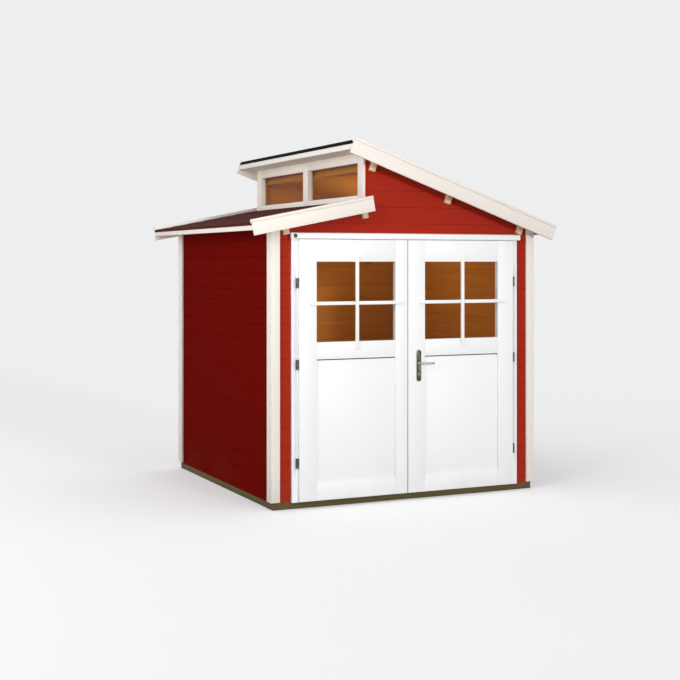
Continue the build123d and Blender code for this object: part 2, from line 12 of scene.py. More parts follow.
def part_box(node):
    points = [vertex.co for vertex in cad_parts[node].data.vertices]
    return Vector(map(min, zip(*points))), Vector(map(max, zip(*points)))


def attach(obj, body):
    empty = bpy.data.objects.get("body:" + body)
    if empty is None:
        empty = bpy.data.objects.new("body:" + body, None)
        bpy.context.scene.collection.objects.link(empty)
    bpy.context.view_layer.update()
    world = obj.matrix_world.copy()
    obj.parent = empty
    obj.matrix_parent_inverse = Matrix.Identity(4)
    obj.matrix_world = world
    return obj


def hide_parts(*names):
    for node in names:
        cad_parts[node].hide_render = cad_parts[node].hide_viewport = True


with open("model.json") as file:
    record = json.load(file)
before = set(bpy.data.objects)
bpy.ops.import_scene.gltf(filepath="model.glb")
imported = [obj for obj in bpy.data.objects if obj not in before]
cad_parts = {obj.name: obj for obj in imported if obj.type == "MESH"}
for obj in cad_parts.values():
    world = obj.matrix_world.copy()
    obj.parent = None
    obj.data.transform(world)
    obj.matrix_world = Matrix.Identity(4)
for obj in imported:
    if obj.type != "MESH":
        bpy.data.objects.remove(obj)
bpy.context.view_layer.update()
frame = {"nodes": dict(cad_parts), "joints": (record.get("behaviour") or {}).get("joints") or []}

bl_info = {
    "name": "Wooden garden shed",
    "version": (1, 0, 0),
    "blender": (4, 5, 0),
    "location": "View3D > Sidebar > Shed",
    "description": "Boards, shingles, window bars, finishes and stage of a garden shed",
    "category": "Add Mesh",
}

# Two corners of a mesh that are closer than this are one.
MERGE = 1e-5
# Faces that meet at a smaller angle are one flat face.
FLAT = radians(0.5)
# Edges that are sharper than this are rounded.
ARRIS = radians(40)
# Edges of timber, and of boards, that are shorter than this stay sharp.
SHORT_TIMBER_EDGE = 0.006
SHORT_BOARD_EDGE = 0.015
# Room along and across the grain in which boards are cut from the log.
LOG = (9, 1, 1)


def linear(code, share=1.0):
    """Linear colour with alpha from an sRGB hex code, made darker or lighter by a share."""
    parts = [int(code[i:i + 2], 16) / 255 for i in (1, 3, 5)]
    plain = [p / 12.92 if p <= 0.04045 else ((p + 0.055) / 1.055) ** 2.4 for p in parts]
    return [p * share for p in plain] + [1.0]


def number(name, description, default, **kind):
    """Number that a user may change, with its unit or subtype."""
    return FloatProperty(name=name, description=description, default=default, **kind)


def size(name, description, default):
    """Length of the shed that a user may change."""
    return number(name, description, default, unit="LENGTH", precision=4)


def colour(name, description, default):
    """Colour that a user may change, as an sRGB hex code."""
    return StringProperty(name=name, description=description, default=default)


class ShedSizes(bpy.types.PropertyGroup):
    """Sizes of what is laid over the solids."""
    wall_pitch: size("Wall board", "Height that one wall board covers", 0.1165)
    wall_start: size("Wall start", "Height of the lowest joint between wall boards", 0.0855)
    floor_pitch: size("Floor board", "Width that one floor board covers", 0.095)
    roof_pitch: size("Roof board", "Width that one roof board covers", 0.095)
    wall_joint: size("Wall joint", "Bevel on each side of a joint between wall boards", 0.0013)
    floor_joint: size("Floor joint", "Bevel on each side of a joint between floor or roof boards", 0.0018)
    trim_edge: size("Trim edge", "Rounding of the edges of trim boards", 0.0022)
    door_edge: size("Door edge", "Rounding of the edges of door stiles and rails", 0.0016)
    timber_edge: size("Timber edge", "Rounding of the edges of purlins and bearers", 0.0030)
    bar_width: size("Window bar width", "Width of the bars over the door windows", 0.0245)
    bar_depth: size("Window bar depth", "Thickness of the bars over the door windows", 0.0150)
    bar_past_side: size("Bar past the side", "Length of a bar beyond the sides of the glass", 0.050)
    bar_past_end: size("Bar past the end", "Length of a bar beyond the head and sill of the glass", 0.046)
    bar_drop: size("Bar drop", "Middle of the cross below the middle of the glass", 0.010)
    glazing_rebate: size("Glazing rebate", "Width of glass hidden in the leaf", 0.009)
    bead_height: size("Bead", "Height of the bead between a door panel and the rail over it", 0.0110)
    panel_groove: size("Panel groove", "Open groove between a door panel and the bead over it", 0.0075)
    tab_width: size("Shingle tab", "Width of one shingle tab", 0.333)
    exposure: size("Shingle exposure", "Length of a shingle that shows", 0.143)
    tab_thickness: size("Shingle thickness", "Thickness of a shingle", 0.0026)
    tab_slot: size("Shingle slot", "Gap between two tabs", 0.007)
    lever_radius: size("Lever radius", "Radius of the handle's grip", 0.008)
    nail_radius: size("Nail head radius", "Radius of the nail heads in the trim", 0.0036)
    screw_radius: size("Screw head radius", "Radius of the screw heads in the handle plates", 0.0042)


class ShedColours(bpy.types.PropertyGroup):
    """Colours of the finishes, as sRGB hex codes."""
    red_front: colour("Red, gables", "Red wood paint on the gable walls", "#A52A1B")
    # The side walls' red is the gable red made darker and deeper: painted shade on the side walls.
    red_side_shaded: colour("Red, shaded side", "Red wood paint on the side walls", "#6A0803")
    cream: colour("Cream", "Trim paint on corner boards, fascias and barge boards", "#EFE6DC")
    white: colour("White", "Paint of the doors and their frame", "#F5F5F4")
    spruce: colour("Spruce", "Planed boards inside", "#C47A1E")
    spruce_dark: colour("Spruce, late wood", "Lines of the grain and knots", "#96561A")
    # The purlin colour is a pale weathered wood, lightened further as painted light on the purlin ends that
    # lie in the barge boards' shade; the threshold shares it.
    purlin: colour("Purlin", "Ends of the purlins, and the threshold", "#E8C9A8")
    purlin_dark: colour("Purlin, late wood", "Lines of the grain in the purlins", "#C99D74")
    treated: colour("Treated timber", "Bearers and joists", "#625838")
    treated_dark: colour("Treated timber, late wood", "Lines of the grain in bearers and joists", "#4A4129")
    shingle: colour("Shingle", "Mineral grit of the shingles", "#50221D")
    felt: colour("Felt", "Underlay and its turned-down edges", "#0D0F13")
    soil: colour("Soil", "Splashes at the foot of the walls", "#6F5B45")
    steel: colour("Hinge steel", "Zinc-plated hinges", "#5A5758")
    nickel: colour("Satin nickel", "Lever of the handle", "#B3ABA6")
    plate: colour("Dull nickel", "Plates of the handle", "#514F3F")
    plastic: colour("Black plastic", "Cap on the header", "#1A1B1E")
    glass: colour("Glass", "Tint of the panes", "#1C2621")


class ShedStage(bpy.types.PropertyGroup):
    """Floor, light and camera."""
    floor_colour: colour("Floor", "Plain pale floor", "#FCFCFB")
    floor_bounce: colour("Floor bounce", "Colour of the light that the floor throws back", "#B4B4B0")
    floor_glow: number("Floor glow", "Lift of the floor towards the backdrop", 0.165)
    floor_size: number("Floor size", "Side of the floor", 160.0, unit="LENGTH")
    sun_strength: number("Key light", "Strength of the soft key light", 1.25)
    sun_softness: number("Softness", "Angle that the key light fills", radians(7), subtype="ANGLE")
    sun_turn: number("Key turn", "Key light to the right of the front", radians(12), subtype="ANGLE")
    sun_height: number("Key height", "Key light above the horizon", radians(5), subtype="ANGLE")
    side_power: number("Side light", "Power of the soft lamp on the left", 112.0, unit="POWER")
    upper_power: number("Upper light", "Power of the soft lamp on the clerestory", 18.0, unit="POWER")
    room_power: number("Room light", "Power of the soft lamp inside the shed", 15.0, unit="POWER")
    fill_strength: number("Fill light", "Strength of the even light all round", 0.72)
    fill_colour: colour("Fill colour", "Colour of the even light all round", "#F4F6FA")
    backdrop: number("Backdrop", "Brightness of the backdrop behind the shed", 0.871)
    backdrop_colour: colour("Backdrop colour", "Colour of the backdrop behind the shed", "#FCFDFF")
    camera_place: FloatVectorProperty(
        name="Camera", description="Place of the camera", default=(-4.2659, -8.9879, 1.6797), unit="LENGTH"
    )
    camera_turn: number("Camera turn", "Turn of the camera to the right", radians(25.049), subtype="ANGLE")
    camera_lens: number("Lens", "Focal length of the camera", 67.54, unit="CAMERA")
    camera_shift: number("Shift", "Shift of the picture upwards", -0.1147)
    seed: IntProperty(name="Seed", description="Seed of all variation", default=7)


def colours():
    """Colours as the user has set them."""
    return bpy.context.scene.shed_colours


def seed_for(name=""):
    """Seed of a piece's variation, moved on from the shed's own by the length of its name."""
    return bpy.context.scene.shed_stage.seed + len(name)


def add_node(tree, kind, inputs=None, give=0, **settings):
    """Adds a node with its settings and gives one of its outputs, or all of them for None.

    inputs maps a socket to a value, a link or a list of links.
    """
    node = tree.nodes.new(kind)
    for name, value in settings.items():
        setattr(node, name, value)
    for key, value in (inputs or {}).items():
        items = value if isinstance(value, list) else [value]
        links = [item for item in items if isinstance(item, bpy.types.NodeSocket)]
        for link in links:
            tree.links.new(link, node.inputs[key])
        if not links:
            node.inputs[key].default_value = value
    return node.outputs if give is None else node.outputs[give]


# Finishes

def new_finish(name):
    """Empty node tree of a new material."""
    material = bpy.data.materials.new(name)
    material.use_nodes = True
    material.node_tree.nodes.clear()
    return material.node_tree


def dress(tree, sockets, relief=None, strength=0.0, depth_mm=0.0, rough=None):
    """Ends a finish with its shader. A relief gives bump, and roughness from one number to another."""
    sockets = dict(sockets)
    if rough:
        sockets["Roughness"] = add_node(tree, "ShaderNodeMapRange", {
            "Value": relief, "From Min": 0.3, "From Max": 0.7, "To Min": rough[0], "To Max": rough[1],
        })
    if relief:
        sockets["Normal"] = add_node(tree, "ShaderNodeBump", {
            "Strength": strength, "Distance": depth_mm / 1000, "Height": relief,
        })
    shader = add_node(tree, "ShaderNodeBsdfPrincipled", sockets)
    add_node(tree, "ShaderNodeOutputMaterial", {"Surface": shader}, None)


def coat(tree, under, over, pattern, low, high, least=0.0, most=1.0):
    """One colour over another, from its least to its most share as a pattern rises from low to high."""
    share = add_node(tree, "ShaderNodeMapRange", {
        "Value": pattern, "From Min": low, "From Max": high, "To Min": least, "To Max": most,
    })
    return add_node(tree, "ShaderNodeMix", {"Factor": share, 6: under, 7: over}, 2, data_type="RGBA")


def along_grain(tree, along_mm, across_mm):
    """Place in a pattern drawn out along the grain, which a piece carries as its own attribute."""
    grain = add_node(tree, "ShaderNodeAttribute", give="Vector", attribute_name="grain")
    scale = (1000 / along_mm, 1000 / across_mm, 1000 / across_mm)
    return add_node(tree, "ShaderNodeMapping", {"Vector": grain, "Scale": scale})


def paint_layers(tree, code, soiled, worn, varied):
    """Colour and relief of brushed paint: grain ridges, boards that differ a little, soil at the foot."""
    ridge_mm = (340, 4.5)
    patch_mm = 385
    chip_mm = 18.2
    splash_heights = (0.04, 0.38)
    ridges = add_node(tree, "ShaderNodeTexNoise", {
        "Vector": along_grain(tree, *ridge_mm), "Scale": 1.0, "Detail": 4.0, "Roughness": 0.62,
    })
    place = add_node(tree, "ShaderNodeTexCoord", give="Object")
    patches = add_node(tree, "ShaderNodeTexNoise", {
        "Vector": place, "Scale": 1000 / patch_mm, "Detail": 5.0, "Roughness": 0.6,
    })
    shade = add_node(tree, "ShaderNodeAttribute", give="Fac", attribute_name="shade")
    body = coat(tree, linear(code, 1 - 0.25 * varied), linear(code, 1 + 0.15 * varied), ridges, 0.3, 0.7)
    body = coat(tree, body, linear(code, 0.82), shade, 0, 1, most=varied)
    body = coat(tree, body, linear(code, 0.84), patches, 0.35, 0.7, most=0.6 * varied)
    height = add_node(tree, "ShaderNodeSeparateXYZ", {"Vector": place}, "Z")
    splash = add_node(tree, "ShaderNodeMapRange", {
        "Value": height, "From Min": splash_heights[0], "From Max": splash_heights[1],
        "To Min": soiled, "To Max": 0.0,
    })
    body = coat(tree, body, linear(colours().soil), patches, 0.38, 0.75, most=splash)
    chips = add_node(tree, "ShaderNodeTexNoise", {"Vector": place, "Scale": 1000 / chip_mm, "Detail": 3.0})
    wear = add_node(tree, "ShaderNodeAttribute", give="Fac", attribute_name="wear")
    rubbed = add_node(tree, "ShaderNodeMath", {0: wear, 1: worn}, operation="MULTIPLY")
    body = coat(tree, body, linear(colours().treated, 0.9), chips, 0.50, 0.66, most=rubbed)
    return body, ridges


def finish_paint(name, code, roughness, gloss, soiled, worn, varied):
    """Satin alkyd paint on planed spruce: an even colour with the ridges of the grain under it."""
    tree = new_finish(name)
    body, ridges = paint_layers(tree, code, soiled, worn, varied)
    dress(
        tree, {"Base Color": body, "Specular IOR Level": gloss}, ridges, strength=2.2 * varied, depth_mm=0.6,
        rough=(roughness + 0.1, roughness - 0.06),
    )


def wood_layers(tree, pale, dark):
    """Colour and relief of planed softwood: broad growth rings, fine fibres and a few knots."""
    ring_mm = (900, 16)
    fibre_mm = (120, 1.8)
    knot_mm = (330, 95)
    rings = add_node(tree, "ShaderNodeTexNoise", {
        "Vector": along_grain(tree, *ring_mm), "Scale": 1.0, "Detail": 3.0, "Roughness": 0.5,
        "Distortion": 0.7,
    })
    fibres = add_node(tree, "ShaderNodeTexNoise", {
        "Vector": along_grain(tree, *fibre_mm), "Scale": 1.0, "Detail": 3.0, "Roughness": 0.6,
    })
    knots = add_node(tree, "ShaderNodeTexVoronoi", {
        "Vector": along_grain(tree, *knot_mm), "Scale": 1.0, "Randomness": 1.0,
    }, "Distance")
    shade = add_node(tree, "ShaderNodeAttribute", give="Fac", attribute_name="shade")
    body = coat(tree, linear(pale, 1.05), linear(dark), rings, 0.40, 0.66, most=0.55)
    body = coat(tree, body, linear(dark, 0.95), fibres, 0.35, 0.7, most=0.22)
    body = coat(tree, body, linear(pale, 0.72), shade, 0, 1, most=0.35)
    body = coat(tree, body, linear(dark, 0.45), knots, 0.05, 0.12, least=0.8, most=0.0)
    return body, fibres


def finish_wood(name, pale, dark, roughness):
    """Planed softwood left bare: warm bands along each board, darker knots, a dry low sheen."""
    tree = new_finish(name)
    body, fibres = wood_layers(tree, pale, dark)
    dress(
        tree, {"Base Color": body, "Specular IOR Level": 0.15}, fibres, strength=0.4, depth_mm=0.5,
        rough=(roughness - 0.08, roughness + 0.1),
    )


def finish_eaves(name, left, right, end, painted):
    """Roof timber: bare spruce inside; past the walls it is painted, or pale as weathered wood, lightened
    further as painted light where the purlin ends lie in shade.
    """
    tree = new_finish(name)
    if painted:
        outer, relief = paint_layers(tree, colours().cream, soiled=0.0, worn=0.3, varied=0.14)
    else:
        outer, relief = wood_layers(tree, colours().purlin, colours().purlin_dark)
    inner = wood_layers(tree, colours().spruce, colours().spruce_dark)[0]
    place = add_node(tree, "ShaderNodeTexCoord", give="Object")
    axes = add_node(tree, "ShaderNodeSeparateXYZ", {"Vector": place}, None)
    depth = add_node(tree, "ShaderNodeMath", {0: axes["Y"]}, operation="ABSOLUTE")
    beyond = add_node(tree, "ShaderNodeMath", {0: depth, 1: end}, operation="GREATER_THAN")
    for test, limit in (("LESS_THAN", left), ("GREATER_THAN", right)):
        past = add_node(tree, "ShaderNodeMath", {0: axes["X"], 1: limit}, operation=test)
        beyond = add_node(tree, "ShaderNodeMath", {0: beyond, 1: past}, operation="MAXIMUM")
    body = coat(tree, inner, outer, beyond, 0, 1)
    dress(
        tree, {"Base Color": body, "Specular IOR Level": 0.15}, relief, strength=0.4, depth_mm=0.5,
        rough=(0.62, 0.5),
    )


def finish_grit(name, code, grain_mm, variety):
    """Bitumen sheet with mineral grit: a dry speckled surface, drawn coarser than real so that it shows."""
    patch_mm = 250
    tree = new_finish(name)
    place = add_node(tree, "ShaderNodeTexCoord", give="Object")
    grit = add_node(tree, "ShaderNodeTexVoronoi", {"Vector": place, "Scale": 1000 / grain_mm}, None)
    specks = add_node(tree, "ShaderNodeSeparateColor", {"Color": grit["Color"]}, "Red")
    patches = add_node(tree, "ShaderNodeTexNoise", {"Vector": place, "Scale": 1000 / patch_mm, "Detail": 4.0})
    shade = add_node(tree, "ShaderNodeAttribute", give="Fac", attribute_name="shade")
    body = coat(tree, linear(code, 1 - variety), linear(code, 1 + variety), specks, 0, 1)
    body = coat(tree, body, linear(code, 0.62), shade, 0, 1, most=0.45)
    body = coat(tree, body, linear(code, 1.5), patches, 0.4, 0.75, most=0.35)
    dress(
        tree, {"Base Color": body, "Roughness": 0.92, "Specular IOR Level": 0.12}, grit["Distance"],
        strength=0.6, depth_mm=1.0,
    )


def finish_metal(name, code, roughness, brushed_mm):
    """Plated or brushed metal: fine draw marks that spread the highlight, and dull stains."""
    mark_mm = 40
    stain_mm = 16.7
    tree = new_finish(name)
    place = add_node(tree, "ShaderNodeTexCoord", give="Object")
    scale = (1000 / brushed_mm, 1000 / brushed_mm, 1000 / mark_mm)
    drawn = add_node(tree, "ShaderNodeMapping", {"Vector": place, "Scale": scale})
    marks = add_node(tree, "ShaderNodeTexNoise", {"Vector": drawn, "Scale": 1.0, "Detail": 3.0})
    stains = add_node(tree, "ShaderNodeTexNoise", {"Vector": place, "Scale": 1000 / stain_mm, "Detail": 3.0})
    body = coat(tree, linear(code), linear(code, 0.6), stains, 0.4, 0.7, most=0.5)
    dress(
        tree, {"Base Color": body, "Metallic": 1.0}, marks, strength=0.15, depth_mm=0.2,
        rough=(roughness - 0.08, roughness + 0.12),
    )


def finish_plastic(name, code):
    """Moulded plastic: near black, with the texture of the mould, drawn coarser than real."""
    texture_mm = 1.43
    tree = new_finish(name)
    place = add_node(tree, "ShaderNodeTexCoord", give="Object")
    texture = add_node(tree, "ShaderNodeTexNoise", {
        "Vector": place, "Scale": 1000 / texture_mm, "Detail": 2.0,
    })
    body = coat(tree, linear(code, 0.8), linear(code, 1.3), texture, 0, 1)
    dress(tree, {"Base Color": body, "Roughness": 0.42}, texture, strength=0.3, depth_mm=0.3)


def finish_glass(name, code):
    """Float glass: dims what is behind it a little, with a sheen that grows where it is seen at a slant."""
    dust_mm = 200
    tree = new_finish(name)
    place = add_node(tree, "ShaderNodeTexCoord", give="Object")
    dust = add_node(tree, "ShaderNodeTexNoise", {"Vector": place, "Scale": 1000 / dust_mm, "Detail": 5.0})
    rough = add_node(tree, "ShaderNodeMapRange", {
        "Value": dust, "From Min": 0.4, "From Max": 0.8, "To Min": 0.01, "To Max": 0.10,
    })
    slant = add_node(tree, "ShaderNodeLayerWeight", {"Blend": 0.5}, "Facing")
    sheen = add_node(tree, "ShaderNodeMath", {0: slant, 1: 5.0}, operation="POWER")
    cover = add_node(tree, "ShaderNodeMapRange", {"Value": sheen, "To Min": 0.07, "To Max": 0.60})
    dress(tree, {"Base Color": linear(code), "Roughness": rough, "Alpha": cover, "IOR": 1.5})


def make_finishes():
    """All finishes of the shed, named for what they are."""
    paints = colours()
    for name, code, roughness, gloss, soiled, worn, varied in (
        ("red_paint_faded", paints.red_front, 0.62, 0.04, 0.15, 0.5, 0.20),
        # The side walls' red is darker to paint their shade; its low gloss keeps that shade dark.
        ("red_paint_deep", paints.red_side_shaded, 0.62, 0.005, 0.06, 0.5, 0.20),
        ("cream_wood_paint", paints.cream, 0.50, 0.25, 0.20, 0.3, 0.14),
        ("white_paint", paints.white, 0.46, 0.25, 0.10, 0.2, 0.08),
    ):
        finish_paint(name, code, roughness, gloss, soiled, worn, varied)
    finish_wood("bare_spruce", paints.spruce, paints.spruce_dark, roughness=0.58)
    finish_wood("sawn_spruce", paints.purlin, paints.purlin_dark, roughness=0.62)
    finish_wood("treated_spruce", paints.treated, paints.treated_dark, roughness=0.70)
    walls_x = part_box("right_wall")[1].x
    walls_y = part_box("rear_wall")[1].y
    clerestory_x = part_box("clerestory_sills")[0].x
    finish_eaves("low_eaves_boards", -walls_x, walls_x, walls_y, painted=True)
    finish_eaves("high_eaves_boards", clerestory_x, walls_x, walls_y, painted=True)
    # Purlin ends past the walls take the pale colour, which is partly painted light.
    finish_eaves("purlin_spruce", -walls_x, walls_x, walls_y, painted=False)
    finish_grit("shingle_grit", paints.shingle, grain_mm=4.5, variety=0.5)
    finish_grit("black_felt", paints.felt, grain_mm=3.0, variety=0.3)
    finish_metal("zinc_steel", paints.steel, roughness=0.45, brushed_mm=1.5)
    finish_metal("satin_nickel", paints.nickel, roughness=0.32, brushed_mm=0.8)
    finish_metal("dull_nickel", paints.plate, roughness=0.40, brushed_mm=0.8)
    finish_plastic("moulded_plastic", paints.plastic)
    finish_glass("float_glass", paints.glass)


def finish_of(name):
    """Finish by name; the first call makes them all."""
    if name not in bpy.data.materials:
        make_finishes()
    return bpy.data.materials[name]


def refinish(node, finish):
    """Gives a node that keeps its shape one of the finishes."""
    kept = frame["nodes"][node]
    kept.data.materials.clear()
    kept.data.materials.append(finish_of(finish))
    return kept


# Meshes

def add_piece(name, mesh, body, replaced=()):
    """Puts a finished mesh into the scene on its body, in place of the nodes that it stands for."""
    piece = bpy.data.objects.new(name, mesh)
    bpy.context.scene.collection.objects.link(piece)
    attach(piece, body)
    if replaced:
        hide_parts(*replaced)
    return piece


def welded(node):
    """Copy of a node's mesh with its triangles joined to flat faces."""
    shape = bmesh.new()
    shape.from_mesh(frame["nodes"][node].data)
    bmesh.ops.remove_doubles(shape, verts=shape.verts, dist=MERGE)
    bmesh.ops.dissolve_limit(shape, angle_limit=FLAT, verts=shape.verts, edges=shape.edges)
    return shape


def roof_slope(node):
    """Corners of a roof sheet's underside, and its outward direction."""
    shape = welded(node)
    lowest = min(shape.faces, key=lambda face: face.normal.z)
    outward = -lowest.normal.copy()
    corners = [vert.co.copy() for vert in lowest.verts]
    shape.free()
    return corners, outward


def islands(shape):
    """Groups of faces that hang together."""
    left = set(shape.faces)
    while left:
        group, reach = [], [min(left, key=lambda face: face.index)]
        left.discard(reach[0])
        while reach:
            face = reach.pop()
            group.append(face)
            for edge in face.edges:
                for other in edge.link_faces:
                    if other in left:
                        left.discard(other)
                        reach.append(other)
        yield group


def mark_grain(shape, seed):
    """Gives each board its own shade and a grain that runs along its longest edge."""
    grain = shape.verts.layers.float_vector.new("grain")
    shade = shape.verts.layers.float.new("shade")
    draw = random.Random(seed)
    shape.faces.index_update()
    shape.edges.index_update()
    for group in islands(shape):
        edges = {edge for face in group for edge in face.edges}
        longest = min(edges, key=lambda edge: (-round(edge.calc_length(), 5), edge.index))
        along = (longest.verts[1].co - longest.verts[0].co).normalized()
        across = along.orthogonal().normalized()
        depth = along.cross(across)
        start = Vector([draw.uniform(0, room) for room in LOG])
        share = draw.random()
        for vert in {vert for face in group for vert in face.verts}:
            vert[grain] = start + Vector((vert.co.dot(along), vert.co.dot(across), vert.co.dot(depth)))
            vert[shade] = share


def to_mesh(name, shape, finishes, smooth=radians(35)):
    """Mesh from worked faces, smooth across small angles."""
    mesh = bpy.data.meshes.new(name)
    shape.to_mesh(mesh)
    shape.free()
    for finish in finishes:
        mesh.materials.append(finish_of(finish))
    mesh.shade_smooth()
    mesh.set_sharp_from_angle(angle=smooth)
    return mesh


def prism(rings, shape=None):
    """Closed bar between the outlines of its two ends, added to a shape or on its own."""
    shape = shape or bmesh.new()
    first, last = [[shape.verts.new(point) for point in ring] for ring in rings]
    for index in range(len(first)):
        follow = (index + 1) % len(first)
        shape.faces.new((first[index], first[follow], last[follow], last[index]))
    shape.faces.new(first)
    shape.faces.new(last[::-1])
    bmesh.ops.recalc_face_normals(shape, faces=shape.faces)
    return shape


def ease(shape, radius, shortest):
    """Rounds the long outer edges and marks the rounding, where paint wears first."""
    wear = shape.faces.layers.float.new("wear")
    edges = [
        edge
        for edge in shape.edges
        if len(edge.link_faces) == 2
        and edge.is_convex
        and edge.calc_face_angle() > ARRIS
        and edge.calc_length() > shortest
    ]
    made = bmesh.ops.bevel(
        shape, geom=edges, offset=radius, offset_type="OFFSET", segments=2, profile=0.5,
        affect="EDGES", clamp_overlap=False,
    )
    for face in made["faces"]:
        face[wear] = 1.0


def eased_piece(node, radius, finish, body, shortest=SHORT_TIMBER_EDGE):
    """Board or fitting with softened edges in place of its node."""
    shape = welded(node)
    ease(shape, radius, shortest)
    mark_grain(shape, seed_for(node))
    name = "eased_" + node
    return add_piece(name, to_mesh(name, shape, [finish]), body, [node])


# Geometry nodes

def start_tree(name, sockets):
    """Node tree with named inputs, and the sockets that give them."""
    tree = bpy.data.node_groups.new(name, "GeometryNodeTree")
    tree.interface.new_socket("Geometry", in_out="INPUT", socket_type="NodeSocketGeometry")
    for label, kind in sockets:
        tree.interface.new_socket(label, in_out="INPUT", socket_type="NodeSocket" + kind)
    tree.interface.new_socket("Geometry", in_out="OUTPUT", socket_type="NodeSocketGeometry")
    return tree, add_node(tree, "NodeGroupInput", give=None)


def run_tree(tree, mesh, values):
    """Plain mesh that a tree makes from a start mesh and its inputs."""
    source = bpy.data.objects.new(tree.name + "_source", mesh)
    modifier = source.modifiers.new("tree", "NODES")
    modifier.node_group = tree
    for item in tree.interface.items_tree:
        if item.in_out == "INPUT" and item.name in values:
            modifier[item.identifier] = values[item.name]
    bpy.context.scene.collection.objects.link(source)
    depsgraph = bpy.context.evaluated_depsgraph_get()
    made = bpy.data.meshes.new_from_object(
        source.evaluated_get(depsgraph), preserve_all_data_layers=True, depsgraph=depsgraph
    )
    source.modifiers.remove(modifier)
    bpy.data.objects.remove(source)
    if not made.polygons:
        raise RuntimeError(f"{tree.name} made no faces")
    return made


def turned(stack, outward):
    """Turn whose X runs along a board, Y to the next board and Z outwards."""
    return Matrix((stack.cross(outward), stack, outward)).transposed().to_euler()


def store_variety(tree, shape, start, turn, seed):
    """Stores each island's own shade, and its grain along the local X."""
    longest_jump = 23.0
    island = add_node(tree, "GeometryNodeInputMeshIsland", give="Island Index")
    share = add_node(tree, "FunctionNodeRandomValue", {"ID": island, "Seed": seed}, 1)
    place = add_node(tree, "GeometryNodeInputPosition")
    local = add_node(tree, "ShaderNodeVectorMath", {0: place, 1: start}, operation="SUBTRACT")
    back = add_node(tree, "FunctionNodeInvertRotation", {"Rotation": turn})
    local = add_node(tree, "FunctionNodeRotateVector", {"Vector": local, "Rotation": back})
    jump = add_node(tree, "ShaderNodeMath", {0: share, 1: longest_jump}, operation="MULTIPLY")
    jump = add_node(tree, "ShaderNodeCombineXYZ", {"X": jump})
    local = add_node(tree, "ShaderNodeVectorMath", {0: local, 1: jump}, operation="ADD")
    for name, kind, value in (("shade", "FLOAT", share), ("grain", "FLOAT_VECTOR", local)):
        shape = add_node(
            tree, "GeometryNodeStoreNamedAttribute", {"Geometry": shape, "Name": name, "Value": value},
            data_type=kind, domain="POINT",
        )
    return shape


def board_tree():
    """Tongued boards laid side by side and cut to the outline of a solid."""
    if "laid_boards" in bpy.data.node_groups:
        return bpy.data.node_groups["laid_boards"]
    tree, given = start_tree("laid_boards", [
        ("Section", "Object"), ("Length", "Float"), ("Pitch", "Float"), ("Count", "Int"), ("Start", "Vector"),
        ("Turn", "Rotation"), ("Inward", "Vector"), ("Outside", "Material"), ("Inside", "Material"),
        ("Seed", "Int"),
    ])
    least_facing = 0.4
    solid = add_node(
        tree, "GeometryNodeMergeByDistance", {"Geometry": given["Geometry"], "Distance": MERGE}
    )
    far_end = add_node(tree, "ShaderNodeCombineXYZ", {"X": given["Length"]})
    line = add_node(tree, "GeometryNodeCurvePrimitiveLine", {"End": far_end})
    section = add_node(tree, "GeometryNodeObjectInfo", {"Object": given["Section"]}, "Geometry")
    board = add_node(
        tree, "GeometryNodeCurveToMesh", {"Curve": line, "Profile Curve": section, "Fill Caps": True}
    )
    step = add_node(tree, "ShaderNodeCombineXYZ", {"Y": given["Pitch"]})
    places = add_node(tree, "GeometryNodeMeshLine", {"Count": given["Count"], "Offset": step})
    laid = add_node(tree, "GeometryNodeInstanceOnPoints", {"Points": places, "Instance": board})
    laid = add_node(tree, "GeometryNodeRealizeInstances", {"Geometry": laid})
    laid = add_node(tree, "GeometryNodeTransform", {
        "Geometry": laid, "Translation": given["Start"], "Rotation": given["Turn"],
    })
    cut = add_node(tree, "GeometryNodeMeshBoolean", {1: [solid, laid]}, operation="INTERSECT", solver="EXACT")
    cut = store_variety(tree, cut, given["Start"], given["Turn"], given["Seed"])
    normal = add_node(tree, "GeometryNodeInputNormal")
    facing = add_node(
        tree, "ShaderNodeVectorMath", {0: normal, 1: given["Inward"]}, "Value", operation="DOT_PRODUCT"
    )
    inner = add_node(tree, "FunctionNodeCompare", {0: facing, 1: least_facing}, operation="GREATER_THAN")
    cut = add_node(tree, "GeometryNodeRealizeInstances", {"Geometry": cut})
    cut = add_node(tree, "GeometryNodeSetMaterial", {"Geometry": cut, "Material": given["Outside"]})
    cut = add_node(tree, "GeometryNodeSetMaterial", {
        "Geometry": cut, "Selection": inner, "Material": given["Inside"],
    })
    add_node(tree, "NodeGroupOutput", {"Geometry": cut}, None)
    return tree


def board_section(name, pitch, thickness, joint):
    """Outline of a tongued board with bevelled edges, a little thicker than the solid that cuts it."""
    over, gap, tongue = 0.0003, 0.0004, 0.006
    low, high = -over, thickness + over
    bevel = joint + over
    slot = [share * thickness for share in (0.36, 0.64)]
    tenon = [share * thickness for share in (0.40, 0.60)]
    edge = pitch - gap
    points = [
        (0, high - bevel), (0, slot[1]), (tongue + gap, slot[1]), (tongue + gap, slot[0]), (0, slot[0]),
        (0, low + bevel), (bevel, low), (edge - bevel, low), (edge, low + bevel), (edge, tenon[0]),
        (edge + tongue, tenon[0]), (edge + tongue, tenon[1]), (edge, tenon[1]), (edge, high - bevel),
        (edge - bevel, high), (bevel, high),
    ]
    curve = bpy.data.curves.new(name, "CURVE")
    curve.dimensions = "3D"
    spline = curve.splines.new("POLY")
    spline.points.add(len(points) - 1)
    for point, (across, out) in zip(spline.points, points):
        point.co = (-across, -out, 0, 1)
    spline.use_cyclic_u = True
    return bpy.data.objects.new(name, curve)


